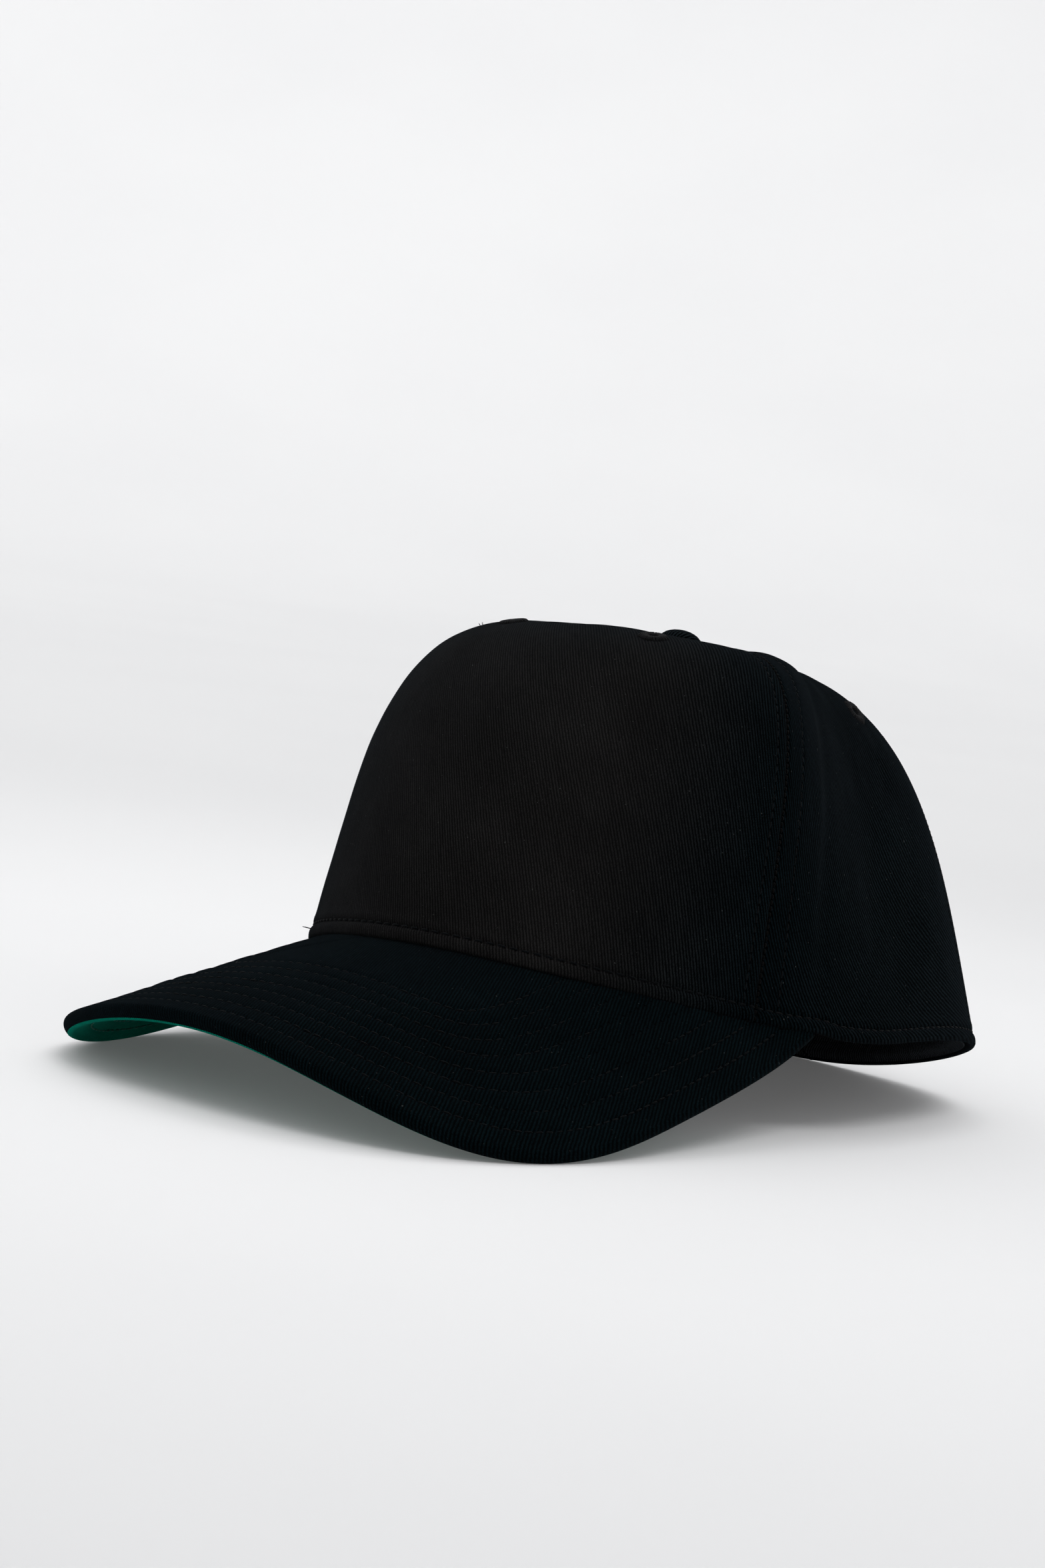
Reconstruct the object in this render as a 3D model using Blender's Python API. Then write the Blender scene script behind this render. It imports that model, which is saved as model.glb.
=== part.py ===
"""A closed-back five-panel baseball cap, lying on the side edges of its visor and its rear hem.

The crown is drawn in its own frame: the hem's plane is z = 0, the wearer looks along -Y and the
wearer's left is +X.  Every layer of the crown is the same surface, moved inward by its depth.
Every layer of the visor is a flat pattern, bent over a cylinder that slopes down from the crown.
An empty named cap_frame then stands the whole cap on its three points of rest.  Units are metres.
"""
import math

import bmesh
import bpy
import numpy as np
from mathutils import Matrix, Vector

# Crown outline at the hem, seen from above: two half ellipses, drawn in or filled out between
# their axes by these shares.
HALF_WIDTH = 0.0853
FRONT_LENGTH = 0.1079
BACK_LENGTH = 0.0895
FRONT_FULLNESS = -0.04
BACK_FULLNESS = 0.11

# Crown wall: how far it leans in, how high its shoulder is, and how square the shoulder is.
LEAN_FRONT, LEAN_CORNER, LEAN_SIDE, LEAN_BACK = 0.0190, 0.0075, 0.0398, 0.0367
SHOULDER_FRONT, SHOULDER_CORNER, SHOULDER_SIDE, SHOULDER_BACK = 0.1020, 0.1004, 0.1030, 0.0981
SQUARE_FRONT, SQUARE_SIDE, SQUARE_BACK = 3.55, 5.07, 2.20
APEX = np.array([0.0, -0.0150, 0.0963])
SIDE_ARCH = 0.0089

# Panel seams and the ends of the visor, as angles round the crown from its front.
FRONT_SEAM = math.radians(55.5)
REAR_SEAM = math.radians(127.0)
VISOR_END = math.radians(68.2)

# Visor: bend radius, downward slope, flat outline and the twist that wear has left in it.
BEND_RADIUS = 0.1181
VISOR_SLOPE = math.radians(23.4)
VISOR_LENGTH = 0.0756
VISOR_HALF_WIDTH = 0.0917
WIDEST_AT = -0.0105
OUTLINE_POWER = 2.8
OUTLINE_HANDLE = 0.64
TWIST = math.tan(math.radians(2.8)) / 0.0468

# Cloth and board thicknesses.
GAP = 0.00035
LAYER_GAP = 0.00055
PANEL = 0.0010
STIFFENER = 0.0007
TAPE = 0.0005
LINING = 0.0005
SWEATBAND = 0.0008
VISOR_CLOTH = 0.0008
VISOR_BOARD = 0.0020
VISOR_TUCK = 0.0018
VISOR_ROUND = 0.0016
VISOR_WRAP = 0.0020
VISOR_FULL_REACH = 0.008

# Depths of the crown's layers under its outer surface.
STIFFENER_DEPTH = PANEL + LAYER_GAP
REAR_TAPE_DEPTH = PANEL + LAYER_GAP
FRONT_TAPE_DEPTH = STIFFENER_DEPTH + STIFFENER + LAYER_GAP
LINING_DEPTH = FRONT_TAPE_DEPTH + TAPE + LAYER_GAP
SWEATBAND_DEPTH = LINING_DEPTH + LINING + GAP

# Sizes of the small pieces.
SWEATBAND_HEIGHT = 0.031
STIFFENER_START = 0.007
TAPE_START = 0.006
TAPE_WIDTH = 0.012
APEX_HOLE = 0.0034
TAPE_STOP = 0.0095
STIFFENER_STOP = 0.016
STIFFENER_WING = 0.017
TAB_WIDTH, TAB_HEIGHT = 0.030, 0.016
BUTTON_RADIUS = 0.0064
BUTTON_TOP = 0.0052
EYELET_HOLE = 0.0016
EYELET_BARREL = 0.0023
EYELET_FLANGE = 0.0042
EYELET_BACK = 0.0034
EYELET_THREAD = 0.0007
EYELET_SEAT = 0.00045
EYELET_SEAT_INSIDE = 0.0009

# Eyelets, as the angle round the crown and the share of the way from the hem to the button.
FRONT_EYELETS = (math.radians(23.5), 0.68)
SIDE_EYELETS = (math.radians(105.0), 0.64)
BACK_EYELETS = (math.radians(153.0), 0.66)

# Mesh density.
ROWS = np.array([0.10, 0.20, 0.30, 0.39, 0.46, 0.52, 0.58, 0.64, 0.70, 0.77, 0.85, 0.92])
COLUMNS_PER_PANEL = (9, 11, 9)
PROFILE_STEPS = 400
BAND_ROWS = 5
VISOR_COLUMNS = 44
VISOR_END_COLUMNS = 2
VISOR_ROWS = 5

# First guess of the tilt that brings the visor and the rear hem to the ground.
START_TILT = math.radians(-11.6)


# ---------------------------------------------------------------- crown surface

def hem_radius(theta):
    """Distance of the hem's outline from the crown's axis."""
    ahead = np.cos(theta) > 0
    length = np.where(ahead, FRONT_LENGTH, BACK_LENGTH)
    fullness = np.where(ahead, FRONT_FULLNESS, BACK_FULLNESS)
    ellipse = ((np.sin(theta) / HALF_WIDTH) ** 2 + (np.cos(theta) / length) ** 2) ** -0.5
    return ellipse * (1 + fullness * np.sin(2 * theta) ** 2)


def around(theta, front, corner, side, back):
    """A value that runs smoothly round the crown through its four key angles."""
    ahead = np.cos(theta) > 0
    weight = np.cos(theta) ** 2
    value = np.sin(theta) ** 2 * side + weight * np.where(ahead, front, back)
    bump = np.where(ahead, np.sin(2 * theta) ** 2, 0)
    return value + bump * (corner - (front + side) / 2)


def hem_height(theta):
    """Height of the hem: on the visor in front, and arched over each ear behind it."""
    radius = hem_radius(theta)
    on_visor = visor_height(radius * np.sin(theta), -radius * np.cos(theta))
    share = np.clip((np.abs(theta) - VISOR_END) / (math.pi - VISOR_END), 0, 1)
    arch = SIDE_ARCH * np.sin(math.pi * share) ** 2
    return np.where(np.abs(theta) < VISOR_END, on_visor, arch)


def meridians(theta):
    """Dense lines from the hem to the apex, one for each angle, with their arc lengths."""
    theta = np.atleast_1d(theta)
    radius = hem_radius(theta)
    lean = around(theta, LEAN_FRONT, LEAN_CORNER, LEAN_SIDE, LEAN_BACK)
    shoulder = around(theta, SHOULDER_FRONT, SHOULDER_CORNER, SHOULDER_SIDE, SHOULDER_BACK)
    corner_square = (SQUARE_FRONT + SQUARE_SIDE) / 2
    square = around(theta, SQUARE_FRONT, corner_square, SQUARE_SIDE, SQUARE_BACK)[:, None]
    outward = np.stack([np.sin(theta), -np.cos(theta), 0 * theta], -1)
    up = np.array([0.0, 0.0, 1.0])
    corner = outward * (radius - lean)[:, None] + up * shoulder[:, None]
    hem = outward * radius[:, None]
    hem = hem + (corner - hem) * (hem_height(theta) / shoulder)[:, None]
    centre = hem + APEX - corner
    angle = np.linspace(0, math.pi / 2, PROFILE_STEPS)[None, :]
    reach = (np.cos(angle) ** square + np.sin(angle) ** square) ** (1 / square)
    along = (np.cos(angle) / reach)[..., None]
    rise = (np.sin(angle) / reach)[..., None]
    line = centre[:, None] + (hem - centre)[:, None] * along + (APEX - centre)[:, None] * rise
    steps = np.linalg.norm(np.diff(line, axis=1), axis=-1)
    length = np.concatenate([np.zeros((len(theta), 1)), np.cumsum(steps, axis=1)], axis=1)
    return line, length


def crown_surface(theta, share):
    """Points on the crown's outer surface; share is 0 at the hem and 1 at the apex."""
    theta, share = np.broadcast_arrays(np.asarray(theta, float), np.asarray(share, float))
    line, length = meridians(theta.ravel())
    points = np.empty((theta.size, 3))
    for row, wanted in enumerate(share.ravel()):
        target = wanted * length[row, -1]
        for axis in range(3):
            points[row, axis] = np.interp(target, length[row], line[row, :, axis])
    return points.reshape(theta.shape + (3,))


def crown_length(theta):
    """Arc length from the hem to the apex."""
    return meridians(theta)[1][:, -1]


def crown_normal(theta, share):
    """Outward unit normal of the crown's outer surface."""
    step = 0.004
    low = np.clip(share - step, 0, 0.99)
    high = np.clip(share + step, 0.01, 1)
    round_it = crown_surface(theta + step, share) - crown_surface(theta - step, share)
    normal = np.cross(round_it, crown_surface(theta, high) - crown_surface(theta, low))
    return normal / np.linalg.norm(normal, axis=-1, keepdims=True)


def crown_layer(theta, share, depth):
    """Points at a depth under the crown's outer surface."""
    return crown_surface(theta, share) - depth * crown_normal(theta, share)


# ---------------------------------------------------------------- visor surface

def plan_to_flat(x, y):
    """Flat pattern coordinates of the visor point that lies over x, y."""
    drop = BEND_RADIUS - np.sqrt(BEND_RADIUS ** 2 - x ** 2)
    across = BEND_RADIUS * np.arcsin(x / BEND_RADIUS)
    ahead = (-FRONT_LENGTH - y + drop * math.sin(VISOR_SLOPE)) / math.cos(VISOR_SLOPE)
    return across, ahead


def bent(across, ahead):
    """The bent and sloping visor surface, before its height over the hem is set."""
    turn = across / BEND_RADIUS
    drop = BEND_RADIUS * (1 - np.cos(turn))
    x = BEND_RADIUS * np.sin(turn)
    y = -FRONT_LENGTH - ahead * math.cos(VISOR_SLOPE) + drop * math.sin(VISOR_SLOPE)
    z = -ahead * math.sin(VISOR_SLOPE) - drop * math.cos(VISOR_SLOPE)
    beyond = np.maximum(np.hypot(x, y) - hem_radius(np.arctan2(x, -y)), 0)
    return np.stack([x, y, z - TWIST * x * beyond], -1)


END_RADIUS = float(hem_radius(VISOR_END))
END_ACROSS, END_AHEAD = plan_to_flat(END_RADIUS * math.sin(VISOR_END), -END_RADIUS * math.cos(VISOR_END))
VISOR_RISE = -bent(END_ACROSS, END_AHEAD)[2]


def visor_surface(across, ahead):
    """Points on the visor's upper surface, whose two ends meet the hem at z = 0."""
    return bent(across, ahead) + np.array([0.0, 0.0, VISOR_RISE])


def visor_height(x, y):
    """Height of the visor's upper surface over x, y."""
    inside = np.clip(x, -0.99 * BEND_RADIUS, 0.99 * BEND_RADIUS)
    return visor_surface(*plan_to_flat(inside, y))[..., 2]


def visor_layer(flat, depth):
    """Points at a depth under the visor's upper surface; flat holds across, ahead pairs."""
    step = 0.0005
    across, ahead = flat[..., 0], flat[..., 1]
    sideways = visor_surface(across + step, ahead) - visor_surface(across - step, ahead)
    forward = visor_surface(across, ahead + step) - visor_surface(across, ahead - step)
    normal = np.cross(forward, sideways)
    normal /= np.linalg.norm(normal, axis=-1, keepdims=True)
    return visor_surface(across, ahead) - np.asarray(depth)[..., None] * normal


def resample(points, count):
    """The same line with evenly spaced points."""
    steps = np.linalg.norm(np.diff(points, axis=0), axis=1)
    length = np.concatenate([[0], np.cumsum(steps)])
    wanted = np.linspace(0, length[-1], count)
    return np.stack([np.interp(wanted, length, points[:, axis]) for axis in range(2)], -1)


def visor_outline():
    """Flat outer edge of the visor, from the wearer's right end to the left end."""
    t = np.linspace(0, 1, 60)[:, None]
    end = np.array([END_ACROSS, END_AHEAD])
    widest = np.array([VISOR_HALF_WIDTH, WIDEST_AT])
    handle = widest - np.array([0, OUTLINE_HANDLE * (WIDEST_AT - END_AHEAD)])
    first = end + (handle - end) * 0.45
    side = ((1 - t) ** 3 * end + 3 * (1 - t) ** 2 * t * first
            + 3 * (1 - t) * t ** 2 * handle + t ** 3 * widest)
    turn = np.linspace(0, math.pi / 2, 200)
    power = 2 / OUTLINE_POWER
    front = np.stack([VISOR_HALF_WIDTH * np.cos(turn) ** power,
                      WIDEST_AT + (VISOR_LENGTH - WIDEST_AT) * np.sin(turn) ** power], -1)
    half = np.concatenate([side[:-1], front])
    mirrored = half * np.array([-1, 1])
    return resample(np.concatenate([mirrored, half[::-1][1:]]), VISOR_COLUMNS + 1)


def visor_root():
    """Flat inner edge of the visor, just inside the hem, matched to the outline's points."""
    theta = np.linspace(-VISOR_END, VISOR_END, VISOR_COLUMNS + 1)
    radius = hem_radius(theta) - VISOR_TUCK
    return np.stack(plan_to_flat(radius * np.sin(theta), -radius * np.cos(theta)), -1)


# ---------------------------------------------------------------- mesh helpers

def material(name, colour, roughness, metallic=0.0):
    """A Principled material."""
    made = bpy.data.materials.new(name)
    made.use_nodes = True
    shader = made.node_tree.nodes["Principled BSDF"]
    shader.inputs["Base Color"].default_value = (*colour, 1.0)
    shader.inputs["Roughness"].default_value = roughness
    shader.inputs["Metallic"].default_value = metallic
    made.diffuse_color = (*colour, 1.0)
    return made


def make_object(name, vertices, faces, finish, parent):
    """One closed mesh object with its faces turned outward."""
    mesh = bpy.data.meshes.new(name)
    mesh.from_pydata([tuple(vertex) for vertex in vertices], [], faces)
    work = bmesh.new()
    work.from_mesh(mesh)
    bmesh.ops.recalc_face_normals(work, faces=work.faces)
    work.to_mesh(mesh)
    work.free()
    mesh.shade_smooth()
    mesh.set_sharp_from_angle(angle=math.radians(40))
    mesh.materials.append(finish)
    made = bpy.data.objects.new(name, mesh)
    bpy.context.collection.objects.link(made)
    made.parent = parent
    return made


def slab(name, outer, inner, finish, parent):
    """A sheet with thickness: two grids of points joined round their border."""
    rows, columns = outer.shape[:2]
    vertices = np.concatenate([outer.reshape(-1, 3), inner.reshape(-1, 3)])
    half = rows * columns

    def number(row, column, side):
        return side * half + row * columns + column

    faces = []
    for row in range(rows - 1):
        for column in range(columns - 1):
            loop = [(row, column), (row, column + 1), (row + 1, column + 1), (row + 1, column)]
            faces.append([number(*place, 0) for place in loop])
            faces.append([number(*place, 1) for place in reversed(loop)])
    border = [(0, column) for column in range(columns - 1)]
    border += [(row, columns - 1) for row in range(rows - 1)]
    border += [(rows - 1, column) for column in range(columns - 1, 0, -1)]
    border += [(row, 0) for row in range(rows - 1, 0, -1)]
    for here, after in zip(border, border[1:] + border[:1]):
        faces.append([number(*after, 0), number(*here, 0), number(*here, 1), number(*after, 1)])
    return make_object(name, vertices, faces, finish, parent)


def loft(name, sections, finish, parent):
    """A solid through closed sections of equal point count, with flat ends."""
    count, around_it = sections.shape[:2]
    last = (count - 1) * around_it
    faces = [list(range(around_it)), [last + k for k in reversed(range(around_it))]]
    for ring in range(count - 1):
        for k in range(around_it):
            after = (k + 1) % around_it
            low, high = ring * around_it, (ring + 1) * around_it
            faces.append([low + k, high + k, high + after, low + after])
    return make_object(name, sections.reshape(-1, 3), faces, finish, parent)


def turned(name, profile, segments, finish, parent):
    """A closed profile of radius, height pairs turned about Z; a zero radius closes on the axis."""
    work = bmesh.new()
    corners = [work.verts.new((radius, 0.0, height)) for radius, height in profile]
    edges = [work.edges.new(pair) for pair in zip(corners, corners[1:])]
    if profile[0][0] > 0:
        edges.append(work.edges.new((corners[-1], corners[0])))
    bmesh.ops.spin(work, geom=corners + edges, cent=(0, 0, 0), axis=(0, 0, 1),
                   angle=2 * math.pi, steps=segments, use_merge=True)
    bmesh.ops.remove_doubles(work, verts=work.verts, dist=1e-6)
    work.verts.index_update()
    vertices = [vertex.co.copy() for vertex in work.verts]
    faces = [[vertex.index for vertex in face.verts] for face in work.faces]
    work.free()
    return make_object(name, vertices, faces, finish, parent)


def cut(target, cutters):
    """Boolean difference with each cutter, applied to the mesh; the cutters are removed."""
    for cutter in cutters:
        hole = target.modifiers.new("hole", "BOOLEAN")
        hole.operation = "DIFFERENCE"
        hole.object = cutter
        bpy.context.view_layer.update()
        shape = target.evaluated_get(bpy.context.evaluated_depsgraph_get())
        mesh = bpy.data.meshes.new_from_object(shape)
        target.modifiers.clear()
        target.data = mesh
    for cutter in cutters:
        bpy.data.objects.remove(cutter)


# ---------------------------------------------------------------- crown pieces

def shared_columns():
    """The angles that every layer's columns follow, with each seam on one of them."""
    stops = (0.0, FRONT_SEAM, REAR_SEAM, math.pi)
    runs = [np.linspace(low, high, count + 1)[1:]
            for low, high, count in zip(stops, stops[1:], COLUMNS_PER_PANEL)]
    half = np.concatenate(runs)
    return np.concatenate([-half[::-1], [0.0], half])


def columns_between(start, end):
    """Angles from start to end, with the shared columns between them."""
    shared = shared_columns()
    margin = math.radians(1.5)
    return np.concatenate([[start], shared[(shared > start + margin) & (shared < end - margin)], [end]])


def seat(theta, depth):
    """Share at which a layer clears the visor by the gap, or 0 behind the visor's ends."""
    lift = GAP / math.cos(VISOR_SLOPE)
    length = crown_length(theta)
    share = np.full(theta.shape, 0.01)
    for _ in range(6):
        point = crown_layer(theta, share, depth)
        above = point[..., 2] - visor_height(point[..., 0], point[..., 1]) - lift
        share = np.clip(share - above / length, 0, 0.1)
    fade = np.clip((np.abs(theta) - VISOR_END) / math.radians(5), 0, 1)
    return share * (1 - fade)


def crown_grid(columns, start, stop, depth, seam_gap=0.0):
    """Grid of points of one layer, with room left beside the seams at both of its sides."""
    rows = [start] + [np.full(columns.shape, row) for row in ROWS]
    floor, ceiling = float(np.max(start)), float(np.min(stop))
    rows = [rows[0]] + [row for row in rows[1:] if floor + 0.02 < row[0] < ceiling - 0.02] + [stop]
    grid = []
    for share in rows:
        theta = columns.copy()
        if seam_gap:
            step = 0.01
            speed = np.linalg.norm(crown_surface(theta[[0, -1]] + step, share[[0, -1]])
                                   - crown_surface(theta[[0, -1]] - step, share[[0, -1]]), axis=-1)
            inset = seam_gap * 2 * step / speed
            theta = np.interp(theta, theta[[0, -1]], [theta[0] + inset[0], theta[-1] - inset[1]])
        grid.append(crown_layer(theta, share, depth))
    return np.array(grid)


def share_at(theta, distance):
    """Share of the way up the crown at a distance along it from the hem."""
    return distance / crown_length(theta)


def share_below_apex(theta, distance):
    """Share of the way up the crown at a distance along it from the apex."""
    return 1 - distance / crown_length(theta)


def make_panel(name, start, end, finish, parent):
    """One twill panel of the crown, between two seams."""
    columns = columns_between(start, end)
    stop = share_below_apex(columns, APEX_HOLE)
    outer = crown_grid(columns, seat(columns, 0.0), stop, 0.0, GAP / 2)
    inner = crown_grid(columns, seat(columns, PANEL), stop, PANEL, GAP / 2)
    return slab(name, outer, inner, finish, parent)


def make_layer(name, start, end, low, high, depth, thickness, finish, parent):
    """A flat layer inside the crown; low is measured from the hem, high from the apex."""
    columns = columns_between(start, end)
    bottom, top = share_at(columns, low), share_below_apex(columns, high)
    outer = crown_grid(columns, bottom, top, depth)
    inner = crown_grid(columns, bottom, top, depth + thickness)
    return slab(name, outer, inner, finish, parent)


def make_tape(name, seam, depth, finish, parent):
    """The tape sewn over the inside of one seam, narrowing towards the apex."""
    low = share_at(np.array([seam]), TAPE_START)[0]
    high = share_below_apex(np.array([seam]), TAPE_STOP)[0]
    rows = np.concatenate([[low], ROWS[(ROWS > low + 0.02) & (ROWS < high - 0.02)], [high]])
    step = 0.01
    speed = np.linalg.norm(crown_surface(seam + step, rows) - crown_surface(seam - step, rows), axis=-1)
    reach = np.minimum(TAPE_WIDTH / 2, 0.45 * speed / (2 * step)) * 2 * step / speed
    theta = seam + reach[:, None] * np.array([-1.0, 0.0, 1.0])
    share = np.repeat(rows[:, None], 3, axis=1)
    outer = crown_layer(theta, share, depth)
    inner = crown_layer(theta, share, depth + TAPE)
    return slab(name, outer, inner, finish, parent)


def make_band(name, low, height, depth, thickness, finish, parent):
    """A strip round the inside of the hem, its two ends butted at the centre back."""
    columns = columns_between(-math.pi + 0.006, math.pi - 0.006)
    length = crown_length(columns)
    shares = [(low + height * step) / length for step in np.linspace(0, 1, BAND_ROWS)]
    outer = np.array([crown_layer(columns, share, depth) for share in shares])
    inner = np.array([crown_layer(columns, share, depth + thickness) for share in shares])
    return slab(name, outer, inner, finish, parent)


def make_tab(name, depth, finish, parent):
    """The plain tab that covers the sweatband's join at the centre back."""
    reach = TAB_WIDTH / 2 / BACK_LENGTH
    columns = math.pi + np.linspace(-reach, reach, 5)
    low = (SWEATBAND_HEIGHT - TAB_HEIGHT) / 2
    length = crown_length(columns)
    shares = [(low + TAB_HEIGHT * step) / length for step in np.linspace(0, 1, BAND_ROWS)]
    outer = np.array([crown_layer(columns, share, depth) for share in shares])
    inner = np.array([crown_layer(columns, share, depth + TAPE) for share in shares])
    return slab(name, outer, inner, finish, parent)


# ---------------------------------------------------------------- visor pieces

def visor_flat(margin):
    """Grid of flat points from the visor's root to a margin inside its outer edge."""
    edge, root = visor_outline(), visor_root()
    along = np.gradient(edge, axis=0)
    outward = np.stack([-along[:, 1], along[:, 0]], -1)
    outward /= np.linalg.norm(outward, axis=1, keepdims=True)
    reach = np.linalg.norm(edge - root, axis=1, keepdims=True)
    tip = edge - outward * margin * np.minimum(1, reach / VISOR_FULL_REACH)
    share = np.linspace(0, 1, VISOR_ROWS + 1)[:, None, None]
    return root + (tip - root) * share


def make_visor_layer(name, depth, thickness, finish, parent):
    """A plain layer of the visor, ending short of its corners: its board or its under cloth."""
    flat = visor_flat(VISOR_WRAP + GAP)[:, VISOR_END_COLUMNS:-VISOR_END_COLUMNS]
    depths = np.full(flat.shape[:2], depth)
    return slab(name, visor_layer(flat, depths), visor_layer(flat, depths + thickness), finish, parent)


def make_visor_top(finish, parent):
    """The upper cloth of the visor, which wraps down round the board's outer edge."""
    total = 2 * VISOR_CLOTH + VISOR_BOARD + 2 * GAP
    rows = [(row, 0.0) for row in visor_flat(VISOR_ROUND)[:-1]]
    for angle in np.linspace(0, math.pi, 6):
        rounded = visor_flat(VISOR_ROUND * (1 - math.sin(angle)))[-1]
        rows.append((rounded, total / 2 * (1 - math.cos(angle))))
    inside = visor_flat(VISOR_WRAP)
    rows.append((inside[-1], total))
    rows += [(row, VISOR_CLOTH) for row in inside[::-1]]
    points = [visor_layer(row, np.full(len(row), depth)) for row, depth in rows]
    return loft("visor_top_fabric", np.array(points).transpose(1, 0, 2), finish, parent)


# ---------------------------------------------------------------- button and eyelets

def make_button(cloth, metal, parent):
    """The covered button: a cloth cap over a metal shell whose shank goes down to a washer."""
    base = BUTTON_TOP - 0.0036
    rim = BUTTON_RADIUS
    cover = [(0, BUTTON_TOP), (0.35 * rim, BUTTON_TOP - 0.0003), (0.68 * rim, BUTTON_TOP - 0.0010),
             (0.92 * rim, BUTTON_TOP - 0.0021), (rim, base + 0.0005), (0.97 * rim, base),
             (0.85 * rim, base), (0.83 * rim, base + 0.0007), (0.58 * rim, BUTTON_TOP - 0.0017),
             (0.30 * rim, BUTTON_TOP - 0.0011), (0, BUTTON_TOP - 0.0009)]
    shell = [(0, BUTTON_TOP - 0.0013), (0.28 * rim, BUTTON_TOP - 0.0015),
             (0.54 * rim, BUTTON_TOP - 0.0022), (0.72 * rim, base + 0.0005),
             (0.72 * rim, base), (0.50 * rim, BUTTON_TOP - 0.0029), (0.0014, BUTTON_TOP - 0.0029),
             (0.0014, -0.0034), (0, -0.0034)]
    washer_top = -(PANEL + TAPE + 2 * LAYER_GAP)
    washer = [(0.0018, washer_top), (0.0058, washer_top + 0.0003), (0.0062, washer_top - 0.0003),
              (0.0062, washer_top - 0.0008), (0.0018, washer_top - 0.0008)]
    for name, profile, finish in (("button_cover", cover, cloth), ("button_shell", shell, metal),
                                  ("button_washer", washer, metal)):
        turned(name, profile, 20, finish, parent).location = APEX


def surface_frame(theta, share):
    """Placement matrix with Z along the crown's outward normal."""
    place = crown_surface(np.array([theta]), np.array([share]))[0]
    normal = Vector(crown_normal(np.array([theta]), np.array([share]))[0])
    turn = normal.to_track_quat("Z", "Y").to_matrix().to_4x4()
    return Matrix.Translation(Vector(place)) @ turn


def make_eyelet(name, theta, share, through, finish, parent):
    """An embroidered eyelet: a thread spool round a punched hole, through all the cloth there."""
    bottom = -through - EYELET_SEAT_INSIDE
    crest = 0.5 * (EYELET_HOLE + EYELET_FLANGE)
    profile = [(EYELET_HOLE, EYELET_SEAT + 0.6 * EYELET_THREAD), (crest, EYELET_SEAT + EYELET_THREAD),
               (EYELET_FLANGE, EYELET_SEAT + 0.5 * EYELET_THREAD), (EYELET_FLANGE, EYELET_SEAT),
               (EYELET_BARREL, EYELET_SEAT), (EYELET_BARREL, bottom), (EYELET_BACK, bottom),
               (EYELET_BACK, bottom - 0.5 * EYELET_THREAD), (EYELET_HOLE, bottom - EYELET_THREAD)]
    made = turned(name, profile, 16, finish, parent)
    made.matrix_local = surface_frame(theta, share)
    return made


def punch(name, theta, share, parent):
    """A cylinder that cuts one eyelet's hole."""
    bpy.ops.mesh.primitive_cylinder_add(vertices=16, radius=EYELET_BARREL + GAP, depth=0.012)
    cutter = bpy.context.active_object
    cutter.name = name
    cutter.parent = parent
    cutter.matrix_local = surface_frame(theta, share)
    return cutter


# ---------------------------------------------------------------- assembly

def world_points(made):
    """The mesh's points in world coordinates."""
    local = np.empty(len(made.data.vertices) * 3)
    made.data.vertices.foreach_get("co", local)
    matrix = np.array(made.matrix_world)
    return local.reshape(-1, 3) @ matrix[:3, :3].T + matrix[:3, 3]


def stand_up(frame, parts):
    """Turn the cap until the visor's two side edges and the rear hem rest on z = 0."""
    visor = parts["visor_top_fabric"]
    hems = [parts["back_panel_left"], parts["back_panel_right"]]
    for _ in range(8):
        bpy.context.view_layer.update()
        edge = world_points(visor)
        middle = edge[:, 0].mean()
        groups = [edge[edge[:, 0] > middle], edge[edge[:, 0] < middle],
                  np.concatenate([world_points(hem) for hem in hems])]
        left, right, rear = [group[np.argmin(group[:, 2])] for group in groups]
        normal = Vector(np.cross(rear - right, left - right))
        if normal.z < 0:
            normal.negate()
        turn = normal.rotation_difference(Vector((0, 0, 1))).to_matrix().to_4x4()
        frame.matrix_world = turn @ frame.matrix_world
    bpy.context.view_layer.update()
    cloud = np.concatenate([world_points(made) for made in parts.values()])
    low, high = cloud.min(axis=0), cloud.max(axis=0)
    shift = Vector((-(low[0] + high[0]) / 2, -(low[1] + high[1]) / 2, -low[2]))
    frame.matrix_world = Matrix.Translation(shift) @ frame.matrix_world
    bpy.context.view_layer.update()


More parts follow.
